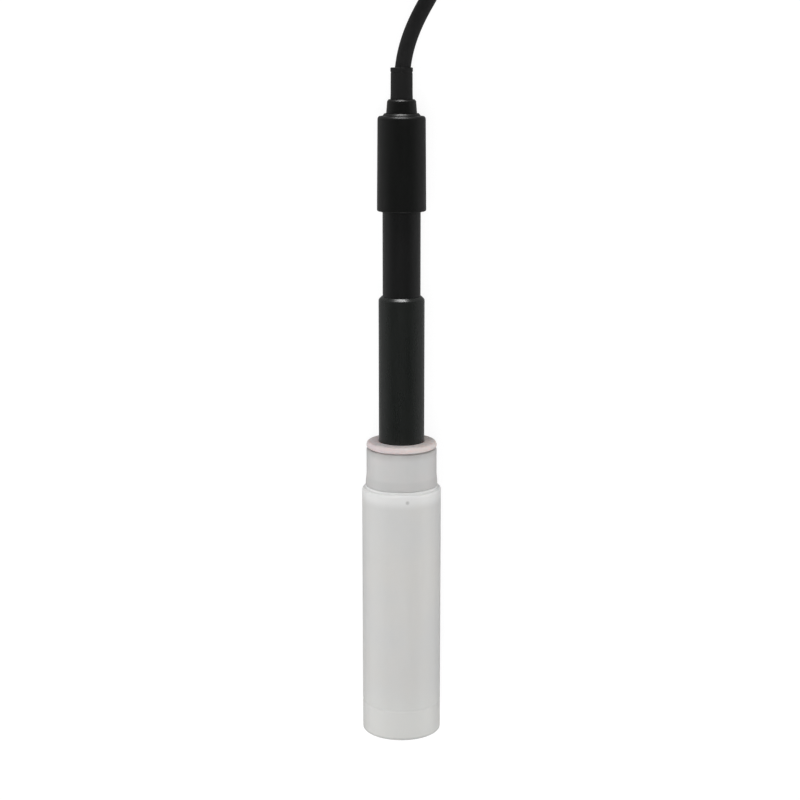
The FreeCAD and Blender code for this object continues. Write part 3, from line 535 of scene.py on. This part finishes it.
stem_finish = finish("stem_resin", (0.46, 0.30, 0.12), 0.3, Subsurface_Weight=0.3, Subsurface_Scale=0.001)
place = upright(stem_finish)
tool_marks = noise(stem_finish, stretched(stem_finish, place, 0.02, 0.02, 1.0), 0.12, 2.0)
emboss(stem_finish, (tool_marks, 0.01))
clouds = noise(stem_finish, place, 2.5)
drive(stem_finish, "Base Color", blend_colour(stem_finish, clouds, (0.40, 0.25, 0.09), (0.52, 0.36, 0.16)))
print("soft finishes ready")

# %% [markdown]
# ## The black plastics
# Head, shaft and barrel are three black plastics with three degrees of gloss. The barrel is the glossiest
# and its black is faintly green, the shaft is satin and the head nearly matt. Each gets a faint grain, an
# uneven gloss, and very fine marks from handling along its length, which are a little paler.


# %% Black plastics
def black_plastic(name, colour, roughness, specular, grain_depth, scuffs, coordinates=upright):
    """Black moulded plastic with a fine grain, paler handling marks and an uneven gloss."""
    material = finish(name, colour, roughness, Specular_IOR_Level=specular, IOR=1.5)
    place = coordinates(material)
    paler = tuple(1.6 * c + 0.004 for c in colour)
    smears = noise(material, stretched(material, place, 1.0, 1.0, 0.15), 2.5, 5.0, 0.6)
    scratches = noise(material, stretched(material, place, 3.0, 3.0, 0.05), 0.5, 2.0, 0.6)
    marked = between(material, scratches, 0.62, 0.72, 0.0, scuffs)
    drive(material, "Base Color", blend_colour(material, marked, colour, paler))
    dulled = between(material, smears, 0.3, 0.75, roughness - 0.04, roughness + 0.08)
    drive(material, "Roughness", dulled)
    grain = noise(material, place, 0.22, 3.0)
    waves = noise(material, stretched(material, place, 1.0, 1.0, 0.3), 6.0, 1.0)
    emboss(material, (waves, 0.02), (grain, grain_depth))
    return material


barrel_finish = black_plastic("barrel_plastic", (0.0085, 0.0100, 0.0090), 0.29, 0.45, 0.002, 0.5)
shaft_finish = black_plastic("shaft_plastic", (0.0058, 0.0060, 0.0060), 0.36, 0.4, 0.004, 0.5)
head_finish = black_plastic("head_plastic", (0.0032, 0.0035, 0.0032), 0.40, 0.4, 0.006, 0.4)
sleeve_finish = black_plastic("sleeve_rubber", (0.0078, 0.0078, 0.0078), 0.55, 0.35, 0.010, 0.3)
tip_finish = black_plastic("membrane_cap_plastic", (0.007, 0.007, 0.0075), 0.33, 0.45, 0.004, 0.4)
plug_finish = black_plastic("plug_plastic", (0.009, 0.009, 0.009), 0.5, 0.4, 0.014, 0.3, flat_millimetres)
boot_finish = black_plastic("boot_rubber", (0.009, 0.009, 0.009), 0.58, 0.4, 0.010, 0.3, flat_millimetres)
insert_finish = black_plastic(
    "insert_plastic", (0.012, 0.012, 0.012), 0.45, 0.4, 0.006, 0.2, flat_millimetres
)
print("black plastics ready")

# %% [markdown]
# ## The cable's jacket
# The jacket is soft black rubber, a little blotchy in the photograph. One blotchy noise makes both its
# colour and its gloss uneven, and two finer ones give it the skin of an extruded jacket.

# %% Cable jacket
JACKET_DARK, JACKET_PALE = (0.0055, 0.0055, 0.0058), (0.0135, 0.0135, 0.0135)
cable_finish = finish("cable_jacket", (0.009, 0.009, 0.0093), 0.55, Specular_IOR_Level=0.35)
place = flat_millimetres(cable_finish)
mottled = noise(cable_finish, place, 1.6, 5.0, 0.6)
dents, skin = noise(cable_finish, place, 0.9, 2.0), noise(cable_finish, place, 0.12, 3.0)
drive(cable_finish, "Base Color", blend_colour(cable_finish, mottled, JACKET_DARK, JACKET_PALE))
uneven_gloss(cable_finish, mottled, 0.48, 0.64)
emboss(cable_finish, (dents, 0.02), (skin, 0.012))
print("cable jacket ready")

# %% [markdown]
# ## Metals, wires and film
# The plug's shell is nickel plated and brushed by many insertions, its pins are gold plated, the cathode is
# gold and the anode is silver that has gone dull where the electrolyte touches it.

# %% Metals
shell_finish = finish("plug_metal", (0.66, 0.65, 0.62), 0.24, Metallic=1.0)
place = flat_millimetres(shell_finish)
brushed = noise(shell_finish, stretched(shell_finish, place, 0.04, 1.0, 1.0), 0.12, 3.0)
uneven_gloss(shell_finish, brushed, 0.18, 0.36)
emboss(shell_finish, (brushed, 0.003))

pin_finish = finish("pin_metal", (0.86, 0.62, 0.25), 0.2, Metallic=1.0)
uneven_gloss(pin_finish, noise(pin_finish, flat_millimetres(pin_finish), 0.4), 0.14, 0.32)

cathode_finish = finish("cathode_metal", (0.88, 0.62, 0.22), 0.15, Metallic=1.0)
uneven_gloss(cathode_finish, noise(cathode_finish, upright(cathode_finish), 0.3), 0.1, 0.25)

lead_finish = finish("lead_wire", (0.60, 0.58, 0.55), 0.3, Metallic=1.0)
uneven_gloss(lead_finish, noise(lead_finish, upright(lead_finish), 0.5), 0.22, 0.45)

anode_finish = finish("anode_metal", (0.55, 0.54, 0.52), 0.4, Metallic=1.0)
dull = noise(anode_finish, upright(anode_finish), 1.0, 4.0)
drive(anode_finish, "Base Color", blend_colour(anode_finish, dull, (0.62, 0.61, 0.59), (0.28, 0.27, 0.26)))
uneven_gloss(anode_finish, dull, 0.3, 0.6)
print("metals ready")

# %% Wire, bead and film
wire_finish = finish("wire_coating", (0.42, 0.04, 0.03), 0.4)
place = upright(wire_finish)
emboss(wire_finish, (noise(wire_finish, place, 0.5), 0.01))

bead_finish = finish("bead_glaze", (0.06, 0.045, 0.03), 0.15, Coat_Weight=0.5)
place = upright(bead_finish)
emboss(bead_finish, (noise(bead_finish, place, 0.4), 0.01))

film_finish = finish("film", (0.85, 0.87, 0.87), 0.12, Transmission_Weight=0.7, IOR=1.38)
place = upright(film_finish)
emboss(film_finish, (noise(film_finish, place, 1.5, 2.0), 0.03))
print("small finishes ready")

# %% [markdown]
# ## Turned pieces
# A lathe makes bottle, cap, probe and head alike, and so does one helper here: a few corner points make
# the outline, a vertex bevel rounds the corners that need it, and a full spin with merged ends turns the
# outline into a solid. This keeps every radius readable, which a lathe modifier on a hand-drawn curve
# would not. Faces are shaded smooth, except across sharp corners.

# %% Lathe helpers
EDGE_SEGMENTS = 4


def outline(bm, corners, closed):
    """A wire through (radius, height) corners; a third number rounds the corner."""
    wire = [bm.verts.new((corner[0], 0.0, corner[1])) for corner in corners]
    for first, second in zip(wire, wire[1:] + wire[:1] if closed else wire[1:]):
        bm.edges.new((first, second))
    for corner, vert in zip(corners, wire):
        if len(corner) > 2:
            bmesh.ops.bevel(
                bm,
                geom=[vert],
                offset=corner[2],
                offset_type="OFFSET",
                segments=EDGE_SEGMENTS,
                profile=0.5,
                affect="VERTICES",
                material=-1,
            )


def turn_round(bm, segments):
    """Spins the outline into a closed solid about the upright axis."""
    bmesh.ops.spin(
        bm,
        geom=bm.verts[:] + bm.edges[:],
        axis=(0, 0, 1),
        cent=(0, 0, 0),
        angle=2 * math.pi,
        steps=segments,
        use_merge=True,
        use_duplicate=False,
    )
    bmesh.ops.remove_doubles(bm, verts=bm.verts[:], dist=1e-4)


def laid_down(bm, place=LAY_DOWN):
    """Points the faces of a new shape outwards and brings it to its place, in metres."""
    bmesh.ops.recalc_face_normals(bm, faces=bm.faces[:])
    bmesh.ops.transform(bm, matrix=place, verts=bm.verts[:])
    return bm


def piece_from(bm, name, material, body, sharp=35):
    """Makes a smooth piece of a finished bmesh, with its finish, and lets it ride on its body."""
    mesh = bpy.data.meshes.new(name)
    bm.to_mesh(mesh)
    bm.free()
    mesh.shade_smooth()
    mesh.set_sharp_from_angle(angle=math.radians(sharp))
    mesh.materials.append(material)
    piece = bpy.data.objects.new(name, mesh)
    bpy.context.scene.collection.objects.link(piece)
    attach(piece, body)
    print(name, "has", len(mesh.polygons), "faces")
    return piece


def turned(name, corners, material, body, closed=True, segments=96, extras=()):
    """A piece turned from an outline, with extras such as threads added before it is laid down."""
    bm = bmesh.new()
    outline(bm, corners, closed)
    turn_round(bm, segments)
    for extra in extras:
        extra(bm)
    return piece_from(laid_down(bm), name, material, body)


print("lathe ready, with", EDGE_SEGMENTS, "segments to a rounded corner")

# %% [markdown]
# ## Screw threads
# A thread is a small ridge that winds up a cylinder. The same spin operator makes it: with dvec it climbs a
# little at each step. The ridge starts and ends flat against the wall, as a moulded thread does. Threads
# stay out of the CAD solids, which have plain walls with room between them, so they belong here.


# %% Thread helper
def thread(wall, height, width, pitch, turns, start, steps=48):
    """A ridge on a wall of this radius, outwards for a positive height and inwards for a negative one."""
    root = wall - math.copysign(0.15, height)
    tip = wall + height
    bottom, top = start - width / 2, start + turns * pitch + width / 2

    def wind(bm):
        shape = ((root, -width / 2), (tip, -width / 5), (tip, width / 5), (root, width / 2))
        first = [bm.verts.new((radius, 0.0, start + z)) for radius, z in shape]
        edges = [bm.edges.new((first[i], first[(i + 1) % 4])) for i in range(4)]
        known = set(bm.verts) - set(first)
        bmesh.ops.spin(
            bm,
            geom=first + edges,
            axis=(0, 0, 1),
            cent=(0, 0, 0),
            dvec=(0, 0, pitch / steps),
            angle=2 * math.pi * turns,
            steps=round(steps * turns),
            use_merge=False,
            use_duplicate=False,
        )
        for vert in set(bm.verts) - known:
            radius = math.hypot(vert.co.x, vert.co.y)
            if abs(radius - tip) < 0.01:
                turns_from_end = min(vert.co.z - bottom, top - vert.co.z) / pitch
                share = min(1.0, max(0.05, turns_from_end * 5.0 - 1.0))
                vert.co.x *= (root + (tip - root) * share) / radius
                vert.co.y *= (root + (tip - root) * share) / radius
        bmesh.ops.holes_fill(bm, edges=[edge for edge in bm.edges if edge.is_boundary], sides=4)

    return wind


CAP_THREAD = {"width": 1.3, "pitch": 2.5, "turns": 2.2}
CAP_THREAD_HEIGHT, CAP_THREAD_START = 0.62, 85.3
print("thread helper ready")

# %% [markdown]
# ## The bottle
# The bottle is a straight tube with a tightly rounded shoulder, a low bead on top of it and a neck. The bead
# catches the light as a bright line right under the cap. The bottle's floor is raised, so that it stands on
# a rim, and the place where floor and wall meet shows outside as a faint ring: a groove 0.1 mm deep, which
# is drawn in the outline, because a bump would vanish from the silhouette.

# %% Storage bottle
BOTTLE_INSIDE = BOTTLE_RADIUS - WALL
FOOT_RECESS, BOTTLE_FLOOR = 7.2, 8.5
RING_LEVEL, RING_DEPTH = 10.0, 0.11
BEAD_RADIUS, BEAD_TOP = 11.75, CAP_BOTTOM - FIT
bottle = turned(
    "bottle",
    (
        (0, FOOT_RECESS),
        (BOTTLE_INSIDE, FOOT_RECESS, 1.0),
        (BOTTLE_INSIDE, 0, 0.3),
        (BOTTLE_RADIUS, 0, 0.5),
        (BOTTLE_RADIUS, RING_LEVEL - 0.5, 0.2),
        (BOTTLE_RADIUS - RING_DEPTH, RING_LEVEL - 0.2, 0.1),
        (BOTTLE_RADIUS - RING_DEPTH, RING_LEVEL + 0.2, 0.1),
        (BOTTLE_RADIUS, RING_LEVEL + 0.5, 0.2),
        (BOTTLE_RADIUS, BOTTLE_HEIGHT, 0.9),
        (BEAD_RADIUS, BOTTLE_HEIGHT, 0.06),
        (BEAD_RADIUS, BEAD_TOP, 0.3),
        (NECK_RADIUS, BEAD_TOP, 0.3),
        (NECK_RADIUS, NECK_TOP, 0.4),
        (NECK_RADIUS - WALL, NECK_TOP, 0.4),
        (NECK_RADIUS - WALL, BOTTLE_HEIGHT - WALL, 0.3),
        (BOTTLE_INSIDE, BOTTLE_HEIGHT - WALL, 0.9),
        (BOTTLE_INSIDE, BOTTLE_FLOOR, 1.0),
        (0, BOTTLE_FLOOR),
    ),
    bottle_finish,
    "bottle",
    closed=False,
    segments=128,
    extras=[thread(NECK_RADIUS, CAP_THREAD_HEIGHT, start=CAP_THREAD_START, **CAP_THREAD)],
)
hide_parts("storage_bottle")

# %% [markdown]
# ## The cap and its seal
# The cap is smooth outside, with a slightly wider foot. The seal is a soft disc with a round rim, on a stem
# that fills the cap's hole. Between disc and cap a dark line shows. It is a real gap: the cap's edge is
# rounded, and the disc is undercut there, so the line goes all the way round. Painted shade on the cap's
# plastic right under the seal darkens the line further.

# %% Bottle cap
CAP_HOLE, CAP_INSIDE, CAP_CEILING = 8.28, 10.45, 94.1
CAP_FOOT_RADIUS = CAP_RADIUS + 0.25
cap = turned(
    "cap",
    (
        (CAP_HOLE, CAP_TOP, 0.1),
        (CAP_HOLE, CAP_CEILING),
        (CAP_INSIDE, CAP_CEILING, 0.3),
        (CAP_INSIDE, CAP_BOTTOM, 0.2),
        (CAP_FOOT_RADIUS, CAP_BOTTOM, 0.15),
        (CAP_FOOT_RADIUS, CAP_BOTTOM + 1.6, 0.8),
        (CAP_RADIUS, CAP_BOTTOM + 3.2, 0.8),
        (CAP_RADIUS, CAP_TOP, 0.6),
    ),
    cap_finish,
    "cap",
    segments=128,
    extras=[
        thread(CAP_INSIDE, -CAP_THREAD_HEIGHT, start=CAP_THREAD_START + CAP_THREAD["pitch"] / 2, **CAP_THREAD)
    ],
)
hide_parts("bottle_cap")

# %% Seal
SEAL_GRIP, SEAL_STEM, STEM_BOTTOM = BARREL_RADIUS + FIT, 8.2, 88.5
seal = turned(
    "seal",
    (
        (SEAL_GRIP, STEM_BOTTOM),
        (SEAL_STEM, STEM_BOTTOM, 0.25),
        (SEAL_STEM, SEAL_BOTTOM),
        (CAP_RADIUS - 0.8, SEAL_BOTTOM, 0.1),
        (CAP_RADIUS - 0.65, SEAL_BOTTOM + 0.3, 0.1),
        (CAP_RADIUS, SEAL_BOTTOM + 0.43, 0.25),
        (CAP_RADIUS, SEAL_TOP, 1.1),
        (SEAL_GRIP, SEAL_TOP, 0.2),
    ),
    seal_finish,
    "seal",
    segments=128,
)
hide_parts("cap_seal")

# %% [markdown]
# ## The probe's body
# Barrel, shaft and head are plain turned shapes, so their few edges carry the look: a clear chamfer on the
# barrel, a small bevel under the head, and a low crown in two steps on top of it. Each corner gets its own
# small rounding, because a perfectly sharp edge would mirror nothing.

# %% Barrel
BARREL_BORE, BARREL_CHAMFER = 5.1, 1.0
SPIGOT_RADIUS, SPIGOT_TOP = 5.95, 40.0
barrel = turned(
    "barrel",
    (
        (BARREL_BORE, BARREL_BOTTOM),
        (SPIGOT_RADIUS, BARREL_BOTTOM, 0.3),
        (SPIGOT_RADIUS, SPIGOT_TOP),
        (BARREL_RADIUS, SPIGOT_TOP, 0.3),
        (BARREL_RADIUS, BARREL_TOP - BARREL_CHAMFER, 0.3),
        (BARREL_RADIUS - BARREL_CHAMFER, BARREL_TOP, 0.15),
        (SHAFT_SOCKET, BARREL_TOP),
        (SHAFT_SOCKET, SHAFT_BOTTOM),
        (BARREL_BORE, SHAFT_BOTTOM),
    ),
    barrel_finish,
    "probe",
    extras=[thread(SPIGOT_RADIUS, 0.2, width=0.8, pitch=1.5, turns=2.8, start=BARREL_BOTTOM + 1.0)],
)
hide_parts("lower_barrel")

# %% Shaft
SHAFT_BORE = 3.6
GROOVE_RADIUS, GROOVE_BOTTOM, GROOVE_TOP = 4.75, 133.8, 135.5
shaft = turned(
    "shaft",
    (
        (SHAFT_BORE, SHAFT_BOTTOM),
        (SHAFT_RADIUS, SHAFT_BOTTOM, 0.3),
        (SHAFT_RADIUS, GROOVE_BOTTOM),
        (GROOVE_RADIUS, GROOVE_BOTTOM),
        (GROOVE_RADIUS, GROOVE_TOP),
        (SHAFT_RADIUS, GROOVE_TOP),
        (SHAFT_RADIUS, SHAFT_TOP, 0.3),
        (SHAFT_BORE, SHAFT_TOP),
    ),
    shaft_finish,
    "probe",
)
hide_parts("upper_shaft")

# %% Head
COLLAR_SHANK, CAVITY_RADIUS = 3.6, 4.95
head = turned(
    "head",
    (
        (SHAFT_SOCKET, HEAD_BOTTOM, 0.1),
        (HEAD_RADIUS + 0.225, HEAD_BOTTOM, 0.45),
        (HEAD_RADIUS, HEAD_EDGE, 0.3),
        (HEAD_RADIUS - 0.45, HEAD_EDGE + 0.55, 0.1),
        (HEAD_RADIUS - 1.6, HEAD_EDGE + 0.7, 0.08),
        (HEAD_RADIUS - 1.7, HEAD_EDGE + 0.9, 0.08),
        (HEAD_RADIUS - 2.15, HEAD_TOP, 0.1),
        (COLLAR_SHANK + FIT, HEAD_TOP),
        (COLLAR_SHANK + FIT, CAVITY_TOP),
        (CAVITY_RADIUS, CAVITY_TOP),
        (CAVITY_RADIUS, SHAFT_TOP + FIT),
        (SHAFT_SOCKET, SHAFT_TOP + FIT),
    ),
    head_finish,
    "probe",
)
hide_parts("head_cap")

# %% Collar
COLLAR_RADIUS = 4.8
collar = turned(
    "collar",
    (
        (CABLE_HOLE, CAVITY_TOP - FIT),
        (COLLAR_SHANK, CAVITY_TOP - FIT, 0.3),
        (COLLAR_SHANK, HEAD_TOP),
        (COLLAR_RADIUS, HEAD_TOP, 0.08),
        (COLLAR_RADIUS - 0.3, COLLAR_TOP - 0.55, 0.12),
        (COLLAR_RADIUS - 0.75, COLLAR_TOP, 0.12),
        (CABLE_HOLE, COLLAR_TOP),
    ),
    head_finish,
    "probe",
)
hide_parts("gland_collar")

# %% [markdown]
# ## The cable's sleeve
# The sleeve is soft and slightly waisted below its lip. Its mouth opens like a bell, so that the cable can
# bend in it without a kink, and the inner edge of that bell is what we see round the cable.

# %% Sleeve
LIP_RADIUS, LIP_BOTTOM = 3.475, SLEEVE_TOP - 1.2
sleeve = turned(
    "sleeve",
    (
        (CABLE_HOLE, COLLAR_TOP),
        (3.5, COLLAR_TOP, 0.1),
        (3.425, COLLAR_TOP + 1.6, 0.4),
        (3.4, LIP_BOTTOM - 0.6, 0.1),
        (3.32, LIP_BOTTOM - 0.4, 0.08),
        (3.32, LIP_BOTTOM - 0.2, 0.08),
        (LIP_RADIUS, LIP_BOTTOM, 0.08),
        (LIP_RADIUS, SLEEVE_TOP, 0.22),
        (3.05, SLEEVE_TOP, 0.2),
        (CABLE_HOLE, SLEEVE_TOP - 4.55, 0.6),
    ),
    sleeve_finish,
    "probe",
)
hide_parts("strain_relief_sleeve")

# %% [markdown]
# ## Pieces that keep their CAD shape
# The fluted membrane cap, the stem and the plug already have the right shape. A CAD mesh is made of loose
# triangles, which shade flat, so a copy is merged and smoothed, and the copy stands for the node.


# %% Smoothed copies of CAD nodes
def smoothed(node, name, material, body):
    """A merged and smoothed copy of a CAD node, which it then replaces."""
    bm = bmesh.new()
    bm.from_mesh(cad[node].data)
    bmesh.ops.remove_doubles(bm, verts=bm.verts[:], dist=2e-6)
    piece = piece_from(bm, name, material, body, sharp=30)
    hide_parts(node)
    return piece


smoothed("membrane_cap", "tip_cap", tip_finish, "membrane")
smoothed("film_ring", "tip_ring", tip_finish, "membrane")
smoothed("membrane_gasket", "tip_gasket", gasket_finish, "gasket")
smoothed("electrode_stem", "stem", stem_finish, "probe")
smoothed("anode_sleeve", "anode", anode_finish, "probe")
plug_pieces = [
    smoothed("plug_boot", "boot", boot_finish, "probe"),
    smoothed("plug_body", "plug", plug_finish, "probe"),
    smoothed("plug_shell", "shell", shell_finish, "probe"),
    smoothed("plug_insert", "insert", insert_finish, "probe"),
    smoothed("plug_pins", "pins", pin_finish, "probe"),
]

# %% [markdown]
# ## Ribs on the plug
# A round plug like this one has a few short ribs on each side, to be gripped by two fingers. They are
# moulded on the body. Here they are bevelled blocks, scaled and put in place by operators in a loop, that
# stand half inside the body. A row of bumps in the material would look flat from the side.

# %% Grip ribs on the plug
RIB_COUNT, RIB_SPACING, RIB_SIZE = 5, 2.2, (0.9, 0.8, 4.0)
PLUG_MIDDLE, PLUG_SIDE = Vector((HANK_NEAR + 98.65, HANK_MIDDLE_Y, PLUG_LEVEL)), 5.2
ribs_bm = bmesh.new()
for side in (-PLUG_SIDE, PLUG_SIDE):
    for step in range(RIB_COUNT):
        rib = bmesh.ops.create_cube(ribs_bm, size=1.0)["verts"]
        bmesh.ops.scale(ribs_bm, vec=RIB_SIZE, verts=rib)
        along = (step - (RIB_COUNT - 1) / 2) * RIB_SPACING
        bmesh.ops.translate(ribs_bm, vec=PLUG_MIDDLE + Vector((along, side, 0.0)), verts=rib)
bmesh.ops.bevel(
    ribs_bm,
    geom=ribs_bm.edges[:],
    offset=0.2,
    offset_type="OFFSET",
    segments=2,
    profile=0.5,
    affect="EDGES",
    material=-1,
)
ribs_bm = laid_down(ribs_bm, Matrix.Scale(0.001, 4))
plug_ribs = piece_from(ribs_bm, "plug_ribs", plug_finish, "probe")
plug_pieces.append(plug_ribs)

# %% Finishes of the nodes that stay
CARRIED_OVER = {
    "shaft_o_ring": ring_finish,
    "stem_o_ring": ring_finish,
    "cable_end": cable_finish,
    "potting_plug": resin_finish,
    "cathode": cathode_finish,
    "cathode_wire": wire_finish,
    "anode_wire": wire_finish,
    "thermistor": bead_finish,
    "thermistor_leads": lead_finish,
    "membrane_film": film_finish,
}
for name, material in CARRIED_OVER.items():
    for slot in cad[name].material_slots:
        slot.material = material
print(len(CARRIED_OVER), "CAD nodes have their finish")

# %% [markdown]
# ## The strap
# A hook-and-loop strap holds the hank by its waist. It is a flat tape, so its line is drawn once in the
# plane across the cable, its corners are rounded, and it is extruded to the tape's width and given its
# thickness. The free end lies over the start.

# %% Strap
strap_finish = finish("strap_fabric", (0.016, 0.016, 0.017), 0.85, Sheen_Weight=0.3, Sheen_Roughness=0.6)
place = flat_millimetres(strap_finish)
loops = noise(strap_finish, place, 0.25, 4.0, 0.7)
woven = blend_colour(strap_finish, loops, (0.008, 0.008, 0.009), (0.04, 0.04, 0.042))
drive(strap_finish, "Base Color", woven)
emboss(strap_finish, (loops, 0.15))

STRAP_WIDTH = 12.0
STRAP_LINE = (
    (5.5, 12.5),
    (5.5, 0.5, 2.4),
    (-5.5, 0.5, 2.4),
    (-5.5, 16.3, 2.4),
    (6.45, 16.3, 2.8),
    (6.45, 4.6),
)
strap_bm = bmesh.new()
outline(strap_bm, STRAP_LINE, closed=False)
wide = bmesh.ops.extrude_edge_only(strap_bm, edges=strap_bm.edges[:])["geom"]
far_edge = [part for part in wide if isinstance(part, bmesh.types.BMVert)]
bmesh.ops.translate(strap_bm, vec=(0, STRAP_WIDTH, 0), verts=far_edge)
strap_start = HANK_NEAR + HANK_RUN / 2 - STRAP_WIDTH / 2
across = Matrix((
    (0.0, 0.001, 0.0, strap_start / 1000),
    (0.001, 0.0, 0.0, HANK_MIDDLE_Y / 1000),
    (0.0, 0.0, 0.001, 0.0),
    (0.0, 0.0, 0.0, 1.0),
))
strap = piece_from(laid_down(strap_bm, across), "strap", strap_finish, "probe", sharp=60)
thickness = strap.modifiers.new("thickness", "SOLIDIFY")
thickness.thickness = 0.0009
thickness.offset = 0.0
soft_rim = strap.modifiers.new("rim", "BEVEL")
soft_rim.width = 0.0002
soft_rim.segments = 2
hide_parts("cable_tie")

# %% [markdown]
# ## The cable gets its finish
# It takes the jacket's finish and rides on the probe, and the CAD nodes of lead, hank and tail are hidden.

cable.data.materials.append(cable_finish)
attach(cable, "probe")
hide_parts("cable_lead", "cable_hank", "cable_tail")
print("cable declared, with", 1 + len(plug_pieces), "pieces on it")
